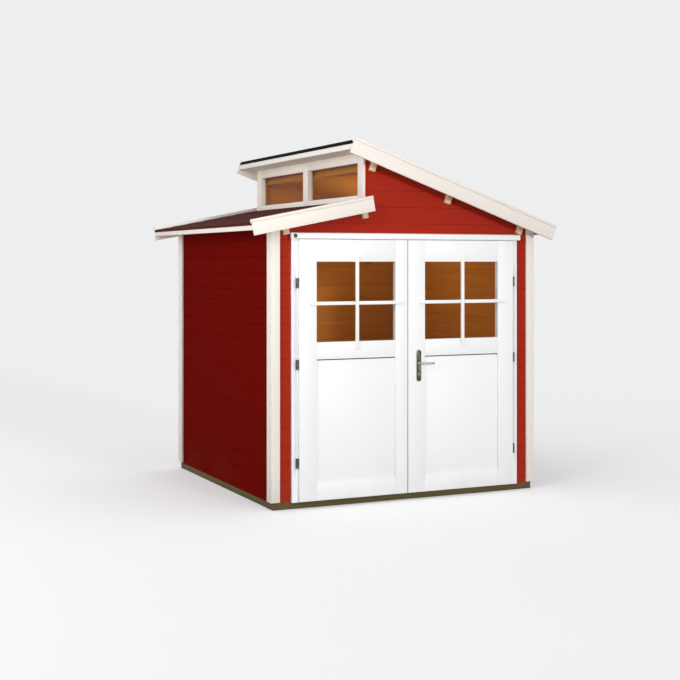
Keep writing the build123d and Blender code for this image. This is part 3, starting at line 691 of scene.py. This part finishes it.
def lay_boards(node, pitch, joint, start, stack, outward, thickness, finishes):
    """Boards in place of a node: laid along it from a start point, towards stack, facing outward."""
    spare = 0.04
    shape = welded(node)
    solid = bpy.data.meshes.new(node + "_solid")
    bmesh.ops.triangulate(shape, faces=shape.faces)
    shape.to_mesh(solid)
    shape.free()
    low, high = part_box(node)
    start, stack, outward = Vector(start), Vector(stack), Vector(outward)
    along = stack.cross(outward)
    length = sum(abs((high - low)[axis] * along[axis]) for axis in range(3)) + spare
    middle = (low + high) / 2
    origin = start + along * ((middle - start).dot(along) - length / 2)
    corners = [Vector((x, y, z)) for x in (low.x, high.x) for y in (low.y, high.y) for z in (low.z, high.z)]
    reach = max((corner - origin).dot(stack) for corner in corners)
    section = board_section(node + "_section", pitch, thickness, joint)
    mesh = run_tree(board_tree(), solid, {
        "Section": section, "Length": length, "Pitch": pitch, "Count": ceil(reach / pitch) + 1,
        "Start": tuple(origin), "Turn": turned(stack, outward), "Inward": tuple(-outward),
        "Outside": finish_of(finishes[0]), "Inside": finish_of(finishes[1]), "Seed": seed_for(node),
    })
    bpy.data.objects.remove(section)
    mesh.name = node + "_boards"
    return add_piece(node + "_boards", mesh, "house", [node])


def shingle_tree():
    """Courses of shingle tabs up a slope over a starter strip, each course half a tab aside from the last."""
    if "roof_shingles" in bpy.data.node_groups:
        return bpy.data.node_groups["roof_shingles"]
    tree, given = start_tree("roof_shingles", [
        ("Width", "Float"), ("Length", "Float"), ("Tab", "Float"), ("Exposure", "Float"), ("Slot", "Float"),
        ("Thickness", "Float"), ("Tab length", "Float"), ("Columns", "Int"), ("Count", "Int"),
        ("Start", "Vector"), ("Turn", "Rotation"), ("Grit", "Material"), ("Seed", "Int"),
    ])
    least_width, least_length = 0.02, 0.03
    strip_margin = 0.002
    wobble = 0.004
    known = {socket.name: socket for socket in given}
    known["Index"] = add_node(tree, "GeometryNodeInputIndex")
    # Each line is a result, its operation and what goes into it, by name or as a number.
    for name, operation, *values in (
        ("Middle of index", "ADD", "Index", 0.5),
        ("Courses passed", "DIVIDE", "Middle of index", "Columns"),
        ("Row", "FLOOR", "Courses passed"),
        ("Tabs below", "MULTIPLY", "Row", "Columns"),
        ("Column", "SUBTRACT", "Index", "Tabs below"),
        ("Odd", "MODULO", "Row", 2.0),
        ("Half tab", "MULTIPLY", "Tab", 0.5),
        ("Aside", "MULTIPLY", "Odd", "Half tab"),
        ("Tabs before", "MULTIPLY", "Column", "Tab"),
        ("Uncut left", "SUBTRACT", "Tabs before", "Aside"),
        ("Uncut right", "ADD", "Uncut left", "Tab"),
        ("Right", "MINIMUM", "Uncut right", "Width"),
        ("Left", "MAXIMUM", "Uncut left", 0.0),
        ("Space", "SUBTRACT", "Right", "Left"),
        ("Cut width", "SUBTRACT", "Space", "Slot"),
        ("Foot", "MULTIPLY", "Row", "Exposure"),
        ("Slope above", "SUBTRACT", "Length", "Foot"),
        ("Cut length", "MINIMUM", "Tab length", "Slope above"),
        ("Both sides", "ADD", "Left", "Right"),
        ("Middle", "MULTIPLY", "Both sides", 0.5),
        ("Lapped", "MULTIPLY", "Thickness", "Tab length"),
        ("Rise", "DIVIDE", "Lapped", "Exposure"),
        ("Too narrow", "LESS_THAN", "Cut width", least_width),
        ("Too short", "LESS_THAN", "Cut length", least_length),
        ("Scrap", "MAXIMUM", "Too narrow", "Too short"),
        ("Laid", "LESS_THAN", "Scrap", 0.5),
        ("Steepness", "DIVIDE", "Thickness", "Exposure"),
        ("Fall", "ARCTANGENT", "Steepness"),
        ("Tilt", "MULTIPLY", "Fall", -1.0),
        ("Strip width", "SUBTRACT", "Width", strip_margin),
        ("Strip length", "MULTIPLY", "Exposure", 0.7),
        ("Strip height", "MULTIPLY", "Rise", 0.92),
        ("Strip middle", "MULTIPLY", "Width", 0.5),
        ("Strip foot", "MULTIPLY", "Exposure", 0.37),
        ("Strip level", "MULTIPLY", "Rise", 0.46),
    ):
        inputs = {place: known.get(value, value) for place, value in enumerate(values)}
        known[name] = add_node(tree, "ShaderNodeMath", inputs, operation=operation)
    for name, *axes in (
        ("Place", "Middle", "Foot", "Rise"),
        ("Size", "Cut width", "Cut length", "Thickness"),
        ("Strip place", "Strip middle", "Strip foot", "Strip level"),
        ("Strip size", "Strip width", "Strip length", "Strip height"),
    ):
        inputs = {place: known[axis] for place, axis in enumerate(axes)}
        known[name] = add_node(tree, "ShaderNodeCombineXYZ", inputs)
    points = add_node(tree, "GeometryNodePoints", {"Count": given["Count"], "Position": known["Place"]})
    tab = add_node(tree, "GeometryNodeMeshCube", {"Size": (1, 1, 1)})
    tab = add_node(tree, "GeometryNodeTransform", {"Geometry": tab, "Translation": (0, 0.5, 0.5)})
    askew = add_node(tree, "FunctionNodeRandomValue", {
        2: -wobble, 3: wobble, "ID": known["Index"], "Seed": given["Seed"],
    }, 1)
    tilt = add_node(tree, "ShaderNodeCombineXYZ", {"X": known["Tilt"], "Z": askew})
    tilt = add_node(tree, "FunctionNodeEulerToRotation", {"Euler": tilt})
    laid = add_node(tree, "GeometryNodeInstanceOnPoints", {
        "Points": points, "Selection": known["Laid"], "Instance": tab, "Rotation": tilt,
        "Scale": known["Size"],
    })
    starter = add_node(tree, "GeometryNodeMeshCube", {"Size": (1, 1, 1)})
    starter = add_node(tree, "GeometryNodeTransform", {
        "Geometry": starter, "Translation": known["Strip place"], "Scale": known["Strip size"],
    })
    laid = add_node(tree, "GeometryNodeJoinGeometry", {0: [laid, starter]})
    laid = add_node(tree, "GeometryNodeRealizeInstances", {"Geometry": laid})
    laid = add_node(tree, "GeometryNodeTransform", {
        "Geometry": laid, "Translation": given["Start"], "Rotation": given["Turn"],
    })
    laid = store_variety(tree, laid, given["Start"], given["Turn"], given["Seed"])
    laid = add_node(tree, "GeometryNodeRealizeInstances", {"Geometry": laid})
    laid = add_node(tree, "GeometryNodeSetMaterial", {"Geometry": laid, "Material": given["Grit"]})
    add_node(tree, "NodeGroupOutput", {"Geometry": laid}, None)
    return tree


def head_tree():
    """Nail or screw heads in rows: one at each end of every line, and between them at about the spacing."""
    if "fastener_heads" in bpy.data.node_groups:
        return bpy.data.node_groups["fastener_heads"]
    tree, given = start_tree("fastener_heads", [
        ("Spacing", "Float"), ("Radius", "Float"), ("Height", "Float"), ("Finish", "Material"),
    ])
    sides = 10
    crown_share = 0.62
    rows = add_node(tree, "GeometryNodeMeshToCurve", {"Mesh": given["Geometry"]})
    rows = add_node(
        tree, "GeometryNodeResampleCurve", {"Curve": rows, "Length": given["Spacing"]}, mode="LENGTH"
    )
    crown = add_node(tree, "ShaderNodeMath", {0: given["Radius"], 1: crown_share}, operation="MULTIPLY")
    head = add_node(
        tree, "GeometryNodeMeshCone",
        {"Vertices": sides, "Radius Top": crown, "Radius Bottom": given["Radius"], "Depth": given["Height"]},
        "Mesh", fill_type="NGON",
    )
    out = add_node(tree, "GeometryNodeInputNamedAttribute", {"Name": "out"}, data_type="FLOAT_VECTOR")
    turn = add_node(tree, "FunctionNodeAlignRotationToVector", {"Vector": out}, axis="Z")
    heads = add_node(tree, "GeometryNodeInstanceOnPoints", {
        "Points": rows, "Instance": head, "Rotation": turn,
    })
    heads = add_node(tree, "GeometryNodeRealizeInstances", {"Geometry": heads})
    heads = add_node(tree, "GeometryNodeSetMaterial", {"Geometry": heads, "Material": given["Finish"]})
    add_node(tree, "NodeGroupOutput", {"Geometry": heads}, None)
    return tree


def fasten(name, rows, spacing, radius, height, finish, body):
    """Heads along rows; a row is its first point, its last point and the way its heads face."""
    mesh = bpy.data.meshes.new(name + "_rows")
    points = [point for row in rows for point in row[:2]]
    mesh.from_pydata(points, [(2 * i, 2 * i + 1) for i in range(len(rows))], [])
    out = mesh.attributes.new("out", "FLOAT_VECTOR", "POINT")
    for index, item in enumerate(out.data):
        item.vector = rows[index // 2][2]
    made = run_tree(head_tree(), mesh, {
        "Spacing": spacing, "Radius": radius, "Height": height, "Finish": finish_of(finish),
    })
    made.name = name
    return add_piece(name, made, body)


# Operators

class ShedWallBoards(bpy.types.Operator):
    """Horizontal tongued boards in place of the wall solids"""
    bl_idname = "shed.wall_boards"
    bl_label = "Wall boards"
    bl_options = {"REGISTER", "UNDO"}

    def execute(self, context):
        given = context.scene.shed_sizes
        for node, outward, finish in (
            # The side walls take the darker red, which paints their shade.
            ("left_wall", (-1, 0, 0), "red_paint_deep"),
            ("right_wall", (1, 0, 0), "red_paint_deep"),
            ("rear_wall", (0, 1, 0), "red_paint_faded"),
            ("front_wall_left", (0, -1, 0), "red_paint_faded"),
            ("front_wall_right", (0, -1, 0), "red_paint_faded"),
            ("front_gable", (0, -1, 0), "red_paint_faded"),
        ):
            low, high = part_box(node)
            outward = Vector(outward)
            thickness = (high - low)[0 if outward.x else 1]
            start = (low + high) / 2 - outward * thickness / 2
            start.z = given.wall_start - given.wall_pitch
            lay_boards(
                node, given.wall_pitch, given.wall_joint, start, (0, 0, 1), outward,
                thickness, (finish, "bare_spruce"),
            )
        return {"FINISHED"}


class ShedFloorBoards(bpy.types.Operator):
    """Floor boards across the joists"""
    bl_idname = "shed.floor_boards"
    bl_label = "Floor boards"
    bl_options = {"REGISTER", "UNDO"}

    def execute(self, context):
        given = context.scene.shed_sizes
        low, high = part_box("floor")
        lay_boards(
            "floor", given.floor_pitch, given.floor_joint, low, (0, 1, 0), (0, 0, 1),
            high.z - low.z, ("bare_spruce", "bare_spruce"),
        )
        return {"FINISHED"}


class ShedRoofBoards(bpy.types.Operator):
    """Roof boards down the slopes, painted where they reach past the walls"""
    bl_idname = "shed.roof_boards"
    bl_label = "Roof boards"
    bl_options = {"REGISTER", "UNDO"}

    def execute(self, context):
        given = context.scene.shed_sizes
        for node, finish in (("low_roof_deck", "low_eaves_boards"), ("high_roof_deck", "high_eaves_boards")):
            corners, outward = roof_slope(node)
            top = max(vert.co.dot(outward) for vert in frame["nodes"][node].data.vertices)
            thickness = top - corners[0].dot(outward)
            start = min(corners, key=lambda corner: (round(corner.y, 4), corner.x))
            lay_boards(
                node, given.roof_pitch, given.floor_joint, start, (0, 1, 0), outward,
                thickness, (finish, finish),
            )
        return {"FINISHED"}


class ShedShingles(bpy.types.Operator):
    """Courses of shingles on both roofs, over the felt"""
    bl_idname = "shed.shingles"
    bl_label = "Shingles"
    bl_options = {"REGISTER", "UNDO"}

    def execute(self, context):
        given = context.scene.shed_sizes
        clear, lift, skin = 0.002, 0.0002, 0.001
        exposures_per_tab = 1.5
        for side, name, cover in ((-1, "low", "shingle_grit"), (1, "high", "black_felt")):
            felt = refinish(f"{name}_roof_covering", cover)
            outward = roof_slope(f"{name}_roof_deck")[1]
            up = Vector((-side * outward.z, 0, abs(outward.x)))
            points = [vert.co.copy() for vert in felt.data.vertices]
            sheet_top = max(point.dot(outward) for point in points)
            on_top = [point.dot(up) for point in points if point.dot(outward) > sheet_top - skin]
            foot, head = min(on_top), max(on_top)
            if side < 0:
                # The low slope's shingles end at the sills of the clerestory.
                head = (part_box("clerestory_sills")[0].x - clear - outward.x * sheet_top) / up.x
            caps = frame["nodes"][f"{name}_verge_caps"].data.vertices
            inner = min(abs(vert.co.y) for vert in caps) - clear
            along = up.cross(outward)
            start = up * foot + outward * (sheet_top + lift) + Vector((0, -along.y * inner, 0))
            columns = ceil(2 * inner / given.tab_width) + 1
            rows = ceil((head - foot) / given.exposure)
            mesh = run_tree(shingle_tree(), bpy.data.meshes.new(name + "_slope"), {
                "Width": 2 * inner, "Length": head - foot, "Tab": given.tab_width, "Exposure": given.exposure,
                "Slot": given.tab_slot, "Thickness": given.tab_thickness,
                "Tab length": exposures_per_tab * given.exposure, "Columns": columns, "Count": columns * rows,
                "Start": tuple(start), "Turn": turned(up, outward), "Grit": finish_of("shingle_grit"),
                "Seed": seed_for() + rows,
            })
            mesh.name = f"{name}_roof_shingles"
            add_piece(mesh.name, mesh, "house")
            if side > 0:
                self.edge_strip(start + up * (head - foot), up, outward, 2 * inner)
        return {"FINISHED"}

    @staticmethod
    def edge_strip(corner, up, outward, width):
        """Felt strip folded over the high edge, on the ends of the last shingles."""
        fold, back, rise, sheet = 0.013, 0.075, 0.0082, 0.0022
        lap = 0.0004
        seed = 1
        section = [
            (lap, -fold), (sheet, -fold), (sheet, rise),
            (-back, rise), (-back, rise - sheet), (lap, rise - sheet),
        ]
        shape = prism([
            [Vector((corner.x, y, corner.z)) + up * along + outward * out for along, out in section]
            for y in (corner.y, corner.y + width)
        ])
        mark_grain(shape, seed)
        mesh = to_mesh("high_edge_strip", shape, ["black_felt"])
        add_piece("high_edge_strip", mesh, "house")


class ShedTrim(bpy.types.Operator):
    """Corner boards, fascias, barge boards, caps, door frame and clerestory"""
    bl_idname = "shed.trim"
    bl_label = "Trim"
    bl_options = {"REGISTER", "UNDO"}

    def execute(self, context):
        edge = context.scene.shed_sizes.trim_edge
        for node in (
            "gable_corner_boards", "side_corner_boards", "eave_fascias", "high_fascia", "low_barge_boards",
            "high_barge_boards", "low_verge_caps", "high_verge_caps", "clerestory_posts", "clerestory_sills",
            "clerestory_heads",
        ):
            eased_piece(node, edge, "cream_wood_paint", "house", SHORT_BOARD_EDGE)
        for node in ("door_jambs", "door_head", "door_header"):
            eased_piece(node, edge, "white_paint", "house", SHORT_BOARD_EDGE)
        return {"FINISHED"}


class ShedTimber(bpy.types.Operator):
    """Bearers, joists, threshold and purlins"""
    bl_idname = "shed.timber"
    bl_label = "Timber"
    bl_options = {"REGISTER", "UNDO"}

    def execute(self, context):
        edge = context.scene.shed_sizes.timber_edge
        for node, finish, slot in (
            ("end_bearers", "treated_spruce", "treated_wood"),
            ("floor_joists", "treated_spruce", "treated_wood"),
            ("threshold", "sawn_spruce", "bare_wood"),
            ("low_purlins", "purlin_spruce", "bare_wood"),
            ("high_purlins", "purlin_spruce", "bare_wood"),
        ):
            eased_piece(node, edge, finish, "house")
        return {"FINISHED"}


class ShedDoors(bpy.types.Operator):
    """Painted door leaves with their panels and glass"""
    bl_idname = "shed.doors"
    bl_label = "Doors"
    bl_options = {"REGISTER", "UNDO"}

    def execute(self, context):
        given = context.scene.shed_sizes
        for hand in ("left", "right"):
            for part in ("stiles", "rails"):
                eased_piece(
                    f"{hand}_door_{part}", given.door_edge, "white_paint", f"{hand}_door",
                    SHORT_BOARD_EDGE,
                )
            self.panel(hand, given)
        for node in ("left_door_glass", "right_door_glass", "clerestory_panes"):
            refinish(node, "float_glass")
        return {"FINISHED"}

    @staticmethod
    def panel(hand, given):
        """Lower panel of a leaf with the bead under the middle rail, and the groove between them, darkened
        with the treated-timber finish as painted shade.
        """
        groove_share = 0.8
        touch, skin = 1e-4, 1e-3
        node = f"{hand}_door_panel"
        low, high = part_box(node)
        rail = high.z - given.glazing_rebate
        bead = rail - given.bead_height
        step = bead - given.panel_groove
        floor = low.y + groove_share * (high.y - low.y)
        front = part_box(f"{hand}_door_stiles")[0].y
        sheet = [
            (low.y, low.z), (low.y, step), (floor, step),
            (floor, high.z), (high.y, high.z), (high.y, low.z),
        ]
        shape = prism([[Vector((x, y, z)) for y, z in sheet] for x in (low.x, high.x)])
        edges = (low.x + given.glazing_rebate, high.x - given.glazing_rebate)
        strip = [(front, bead), (front, rail), (floor, rail), (floor, bead)]
        prism([[Vector((x, y, z)) for y, z in strip] for x in edges], shape)
        ease(shape, given.door_edge, SHORT_BOARD_EDGE)
        # The groove's floor and back take the dark treated-timber finish: painted shade under the bead.
        for face in shape.faces:
            middle = face.calc_center_median()
            face.material_index = int(middle.z > step - touch and low.y + skin < middle.y < floor + touch)
        mark_grain(shape, seed_for(node))
        mesh = to_mesh("eased_" + node, shape, ["white_paint", "treated_spruce"])
        add_piece(mesh.name, mesh, f"{hand}_door", [node])


class ShedWindowBars(bpy.types.Operator):
    """A cross of bars on the outside of each door window"""
    bl_idname = "shed.window_bars"
    bl_label = "Window bars"
    bl_options = {"REGISTER", "UNDO"}

    def execute(self, context):
        given = context.scene.shed_sizes
        rounder = 1.6
        edge = given.door_edge * rounder
        short_edge = 0.01
        half = given.bar_width / 2
        rebate = Vector((given.glazing_rebate,) * 3)
        for hand in ("left", "right"):
            low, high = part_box(f"{hand}_door_glass")
            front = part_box(f"{hand}_door_stiles")[0].y
            low, high = low + rebate, high - rebate
            middle = (low + high) / 2 - Vector((0, 0, given.bar_drop))
            foot = low.z - given.bar_past_end - given.bar_drop
            head = high.z + given.bar_past_end - given.bar_drop
            across = (middle.z - half, middle.z + half)
            shape = bmesh.new()
            for x_span, z_span in (
                ((middle.x - half, middle.x + half), (foot, head)),
                ((low.x - given.bar_past_side, middle.x - half), across),
                ((middle.x + half, high.x + given.bar_past_side), across),
            ):
                corner = Vector((x_span[0], front - given.bar_depth, z_span[0]))
                far = Vector((x_span[1], front, z_span[1]))
                made = bmesh.ops.create_cube(shape, size=1.0)
                for vert in made["verts"]:
                    share = vert.co + Vector((0.5, 0.5, 0.5))
                    vert.co = corner + Vector(share[i] * (far - corner)[i] for i in range(3))
            bmesh.ops.recalc_face_normals(shape, faces=shape.faces)
            ease(shape, edge, short_edge)
            mark_grain(shape, seed_for())
            name = f"{hand}_window_bars"
            add_piece(name, to_mesh(name, shape, ["white_paint"]), f"{hand}_door")
        return {"FINISHED"}


class ShedIronwork(bpy.types.Operator):
    """Hinges, handle plates, lever and the cap on the header"""
    bl_idname = "shed.ironwork"
    bl_label = "Ironwork"
    bl_options = {"REGISTER", "UNDO"}

    def execute(self, context):
        radius = context.scene.shed_sizes.lever_radius
        plate_edge = 0.0009
        for node, finish in (
            ("hinge_frame_halves", "zinc_steel"), ("left_hinge_leaf_halves", "zinc_steel"),
            ("right_hinge_leaf_halves", "zinc_steel"), ("header_cap", "moulded_plastic"),
        ):
            refinish(node, finish)
        eased_piece("handle_plates", plate_edge, "dull_nickel", "right_door", 0.0)
        low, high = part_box("door_lever")
        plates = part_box("handle_plates")
        joint = next(item for item in frame["joints"] if item["name"] == "lever_turn")
        pivot = Vector(joint["pos_m"])
        shape = bmesh.new()
        for front, plate, out in ((low.y + radius, plates[0].y, -1), (high.y - radius, plates[1].y, 1)):
            self.sweep(shape, *self.grip(pivot, front, high.x, radius, out))
            self.sweep(shape, *self.collar(pivot, plate, out))
        bmesh.ops.recalc_face_normals(shape, faces=shape.faces)
        mesh = to_mesh("lever_grips", shape, ["satin_nickel"], radians(45))
        add_piece("lever_grips", mesh, "lever", ["door_lever"])
        return {"FINISHED"}

    @staticmethod
    def grip(pivot, front, end, radius, out):
        """Path and radii of a grip: out of the plate, round a bend, along the leaf, to a domed end."""
        stem, bend, steps = 0.02, 0.017, 8
        dome = radius * 0.9
        end_share = 0.98
        tip = end - dome
        path = [Vector((pivot.x, pivot.y + out * stem, pivot.z))]
        centre = Vector((pivot.x + bend, front - out * bend, pivot.z))
        for step in range(steps + 1):
            angle = step / steps * pi / 2
            path.append(centre + Vector((-bend * cos(angle), out * bend * sin(angle), 0)))
        radii = [radius] * len(path)
        for along, share in ((0.45, 0.98), (0.7, 0.97), (0.9, 0.98), (1.0, end_share)):
            path.append(Vector((pivot.x + (tip - pivot.x) * along, front, pivot.z)))
            radii.append(radius * share)
        for angle in (20, 45, 70, 88):
            path.append(Vector((tip + dome * sin(radians(angle)), front, pivot.z)))
            radii.append(radius * end_share * cos(radians(angle)))
        return path, radii

    @staticmethod
    def collar(pivot, plate, out):
        """Path and radii of the turned collar on one plate."""
        turned_steps = (
            (0.0003, 0.0125), (0.0010, 0.0135), (0.0050, 0.0135), (0.0072, 0.0115), (0.0078, 0.0088),
        )
        path = [Vector((pivot.x, plate + out * rise, pivot.z)) for rise, radius in turned_steps]
        return path, [radius for rise, radius in turned_steps]

    @staticmethod
    def sweep(shape, path, radii, sides=20):
        """Round bar along a path in one level plane, closed at both ends."""
        upright = Vector((0, 0, 1))
        rings = []
        for index, point in enumerate(path):
            before, after = path[max(index - 1, 0)], path[min(index + 1, len(path) - 1)]
            ahead = (after - before).normalized()
            side = ahead.cross(upright).normalized()
            ring = []
            for turn in range(sides):
                angle = 2 * pi * turn / sides
                away = side * cos(angle) + upright * sin(angle)
                ring.append(shape.verts.new(point + away * radii[index]))
            rings.append(ring)
        for first, second in zip(rings, rings[1:]):
            for turn in range(sides):
                follow = (turn + 1) % sides
                shape.faces.new((first[turn], first[follow], second[follow], second[turn]))
        shape.faces.new(rings[0][::-1])
        shape.faces.new(rings[-1])


class ShedFasteners(bpy.types.Operator):
    """Nail heads in trim and window bars, and screw heads in the handle plates"""
    bl_idname = "shed.fasteners"
    bl_label = "Fasteners"
    bl_options = {"REGISTER", "UNDO"}

    def execute(self, context):
        given = context.scene.shed_sizes
        nail_spacing, nail_height = 0.42, 0.0009
        screw_inset, screw_height = 0.016, 0.0016
        pin_spacing, pin_radius, pin_height = 2.0, 0.0026, 0.0007
        trim_rows = self.corner_rows() + self.barge_rows()
        fasten(
            "trim_nails", trim_rows, nail_spacing, given.nail_radius, nail_height, "cream_wood_paint",
            "house",
        )
        low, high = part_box("handle_plates")
        middle = (low.x + high.x) / 2
        screws = [
            ((middle, y, low.z + screw_inset), (middle, y, high.z - screw_inset), (0, out, 0))
            for y, out in ((low.y, -1), (high.y, 1))
        ]
        fasten(
            "plate_screws", screws, high.z - low.z, given.screw_radius, screw_height, "zinc_steel",
            "right_door",
        )
        for hand in ("left", "right"):
            fasten(
                f"{hand}_bar_nails", self.bar_rows(hand), pin_spacing, pin_radius, pin_height, "white_paint",
                f"{hand}_door",
            )
        return {"FINISHED"}

    @staticmethod
    def corner_rows():
        """Two rows of nails up each corner board."""
        board, inset = 0.065, 0.022
        foot_margin, head_margin = 0.06, 0.09
        rows = []
        low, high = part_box("gable_corner_boards")
        foot, head = low.z + foot_margin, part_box("left_wall")[1].z - head_margin
        for side, edge in ((1, low.x), (-1, high.x)):
            for across in (inset, board - inset):
                x = edge + side * across
                rows.append(((x, low.y, foot), (x, low.y, head), (0, -1, 0)))
                rows.append(((x, high.y, foot), (x, high.y, head), (0, 1, 0)))
        low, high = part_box("side_corner_boards")
        for out, x in ((-1, low.x), (1, high.x)):
            for y in (low.y + inset, low.y + board - inset, high.y - inset, high.y - board + inset):
                rows.append(((x, y, foot), (x, y, head), (out, 0, 0)))
        return rows

    @staticmethod
    def barge_rows():
        """Two rows of nails along each barge board, below and above the underside of the roof boards."""
        margin = 0.05
        rises = (-0.035, 0.015)
        rows = []
        for name in ("low", "high"):
            corners, outward = roof_slope(f"{name}_roof_deck")
            left, right = min(c.x for c in corners) + margin, max(c.x for c in corners) - margin
            level = corners[0].dot(outward)
            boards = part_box(f"{name}_barge_boards")
            for rise in rises:
                ends = [(x, (level + rise - outward.x * x) / outward.z) for x in (left, right)]
                for y, out in ((boards[0].y, -1), (boards[1].y, 1)):
                    first, last = [(x, y, z) for x, z in ends]
                    rows.append((first, last, (0, out, 0)))
        return rows

    @staticmethod
    def bar_rows(hand):
        """A nail near each end of the window bars."""
        inset = 0.02
        corners = [Vector(corner) for corner in bpy.data.objects[f"{hand}_window_bars"].bound_box]
        first = Vector([min(corner[i] for corner in corners) for i in range(3)])
        last = Vector([max(corner[i] for corner in corners) for i in range(3)])
        centre = (first + last) / 2
        return [
            ((first.x + inset, first.y, centre.z), (last.x - inset, first.y, centre.z), (0, -1, 0)),
            ((centre.x, first.y, first.z + inset), (centre.x, first.y, last.z - inset), (0, -1, 0)),
        ]


class ShedSetStage(bpy.types.Operator):
    """Pale floor, soft light and the camera"""
    bl_idname = "shed.stage"
    bl_label = "Stage"
    bl_options = {"REGISTER", "UNDO"}

    def execute(self, context):
        given = context.scene.shed_stage
        self.floor(given)
        self.lamps(given)
        self.surroundings(given)
        self.camera(given)
        context.scene.view_settings.view_transform = "Standard"
        return {"FINISHED"}

    @staticmethod
    def seen(tree):
        """One where the eye, a mirror or a pane looks at the surface, zero where it only throws light."""
        rays = add_node(tree, "ShaderNodeLightPath", give=None)
        seen = rays["Is Camera Ray"]
        for kind in ("Is Glossy Ray", "Is Transmission Ray"):
            seen = add_node(tree, "ShaderNodeMath", {0: seen, 1: rays[kind]}, operation="MAXIMUM")
        return seen

    def floor(self, given):
        """Plain matt floor, which the eye sees as pale as the backdrop."""
        tree = new_finish("pale_floor")
        seen = self.seen(tree)
        shown = coat(tree, linear(given.floor_bounce), linear(given.floor_colour), seen, 0, 1)
        glow = add_node(tree, "ShaderNodeMath", {0: seen, 1: given.floor_glow}, operation="MULTIPLY")
        dress(tree, {
            "Base Color": shown, "Emission Strength": glow, "Roughness": 0.9, "Specular IOR Level": 0.1,
        })
        half = given.floor_size / 2
        corners = [(-half, -half, 0), (half, -half, 0), (half, half, 0), (-half, half, 0)]
        mesh = bpy.data.meshes.new("pale_floor")
        mesh.from_pydata(corners, [], [(0, 1, 2, 3)])
        mesh.materials.append(bpy.data.materials["pale_floor"])
        floor = bpy.data.objects.new("pale_floor", mesh)
        bpy.context.scene.collection.objects.link(floor)

    @staticmethod
    def add_lamp(name, kind, power, place, turn, hidden, **settings):
        """Lamp at a place and turn; hidden names the rays that pass it by."""
        lamp = bpy.data.lights.new(name, kind)
        lamp.energy = power
        for key, value in settings.items():
            setattr(lamp, key, value)
        holder = bpy.data.objects.new(name, lamp)
        holder.location = place
        holder.rotation_euler = turn
        for ray in hidden:
            setattr(holder, "visible_" + ray, False)
        bpy.context.scene.collection.objects.link(holder)

    def lamps(self, given):
        """Key light in front, two soft lamps on the left and one in the room."""
        key_turn = (pi / 2 - given.sun_height, 0, given.sun_turn)
        self.add_lamp(
            "key_light", "SUN", given.sun_strength, (0, 0, 0), key_turn, (), angle=given.sun_softness
        )
        side_place, side_turn = (-7.0, -1.0, 1.6), (0, radians(-96), 0)
        self.add_lamp(
            "side_light", "AREA", given.side_power, side_place, side_turn, ("camera",), shape="RECTANGLE",
            size=3.0, size_y=6.0,
        )
        upper_place, clerestory = Vector((-5.0, -3.6, 3.2)), Vector((-0.2, 0.2, 2.3))
        upper_turn = (clerestory - upper_place).to_track_quat("-Z", "Y").to_euler()
        self.add_lamp(
            "upper_light", "AREA", given.upper_power, upper_place, upper_turn, ("camera",), size=2.6,
            spread=radians(60),
        )
        room_place = (0.1, 0.0, 1.75)
        self.add_lamp(
            "room_light", "POINT", given.room_power, room_place, (0, 0, 0),
            ("camera", "glossy", "transmission"), shadow_soft_size=0.35,
        )

    def surroundings(self, given):
        """Even light all round, and the backdrop that the eye sees."""
        world = bpy.data.worlds.new("even_light")
        world.use_nodes = True
        tree = world.node_tree
        tree.nodes.clear()
        even = add_node(tree, "ShaderNodeBackground", {
            "Color": linear(given.fill_colour), "Strength": given.fill_strength,
        })
        shown = add_node(tree, "ShaderNodeBackground", {
            "Color": linear(given.backdrop_colour), "Strength": given.backdrop,
        })
        both = add_node(tree, "ShaderNodeMixShader", {0: self.seen(tree), 1: even, 2: shown})
        add_node(tree, "ShaderNodeOutputWorld", {"Surface": both}, None)
        bpy.context.scene.world = world

    @staticmethod
    def camera(given):
        """Camera at the angle of the photograph."""
        lens = bpy.data.cameras.new("photo_angle")
        lens.lens = given.camera_lens
        lens.sensor_width = 36.0
        lens.shift_y = given.camera_shift
        lens.clip_end = 400.0
        camera = bpy.data.objects.new("photo_angle", lens)
        camera.location = given.camera_place
        camera.rotation_euler = (pi / 2, 0, -given.camera_turn)
        bpy.context.scene.collection.objects.link(camera)
        bpy.context.scene.camera = camera


BUILDERS = (
    ShedWallBoards, ShedFloorBoards, ShedRoofBoards, ShedShingles, ShedTrim, ShedTimber, ShedDoors,
    ShedWindowBars, ShedIronwork, ShedFasteners, ShedSetStage,
)
GROUPS = {"shed_sizes": ShedSizes, "shed_colours": ShedColours, "shed_stage": ShedStage}


class ShedPanel(bpy.types.Panel):
    """Sizes, colours and building steps of the shed"""
    bl_idname = "VIEW3D_PT_shed"
    bl_label = "Garden shed"
    bl_space_type = "VIEW_3D"
    bl_region_type = "UI"
    bl_category = "Shed"

    def draw(self, context):
        for group in GROUPS:
            for name in GROUPS[group].__annotations__:
                self.layout.prop(getattr(context.scene, group), name)
        for builder in BUILDERS:
            self.layout.operator(builder.bl_idname)


def register():
    """Adds the property groups, the operators and the panel."""
    for name, group in GROUPS.items():
        bpy.utils.register_class(group)
        setattr(bpy.types.Scene, name, PointerProperty(type=group))
    for builder in BUILDERS:
        bpy.utils.register_class(builder)
    bpy.utils.register_class(ShedPanel)


def unregister():
    """Takes the panel, the operators and the property groups away again."""
    bpy.utils.unregister_class(ShedPanel)
    for builder in reversed(BUILDERS):
        bpy.utils.unregister_class(builder)
    for name, group in GROUPS.items():
        delattr(bpy.types.Scene, name)
        bpy.utils.unregister_class(group)


def main():
    """Builds the whole shed."""
    register()
    bpy.ops.shed.wall_boards()
    bpy.ops.shed.floor_boards()
    bpy.ops.shed.roof_boards()
    bpy.ops.shed.shingles()
    bpy.ops.shed.trim()
    bpy.ops.shed.timber()
    bpy.ops.shed.doors()
    bpy.ops.shed.window_bars()
    bpy.ops.shed.ironwork()
    bpy.ops.shed.fasteners()
    bpy.ops.shed.stage()


if __name__ == "__main__":
    main()
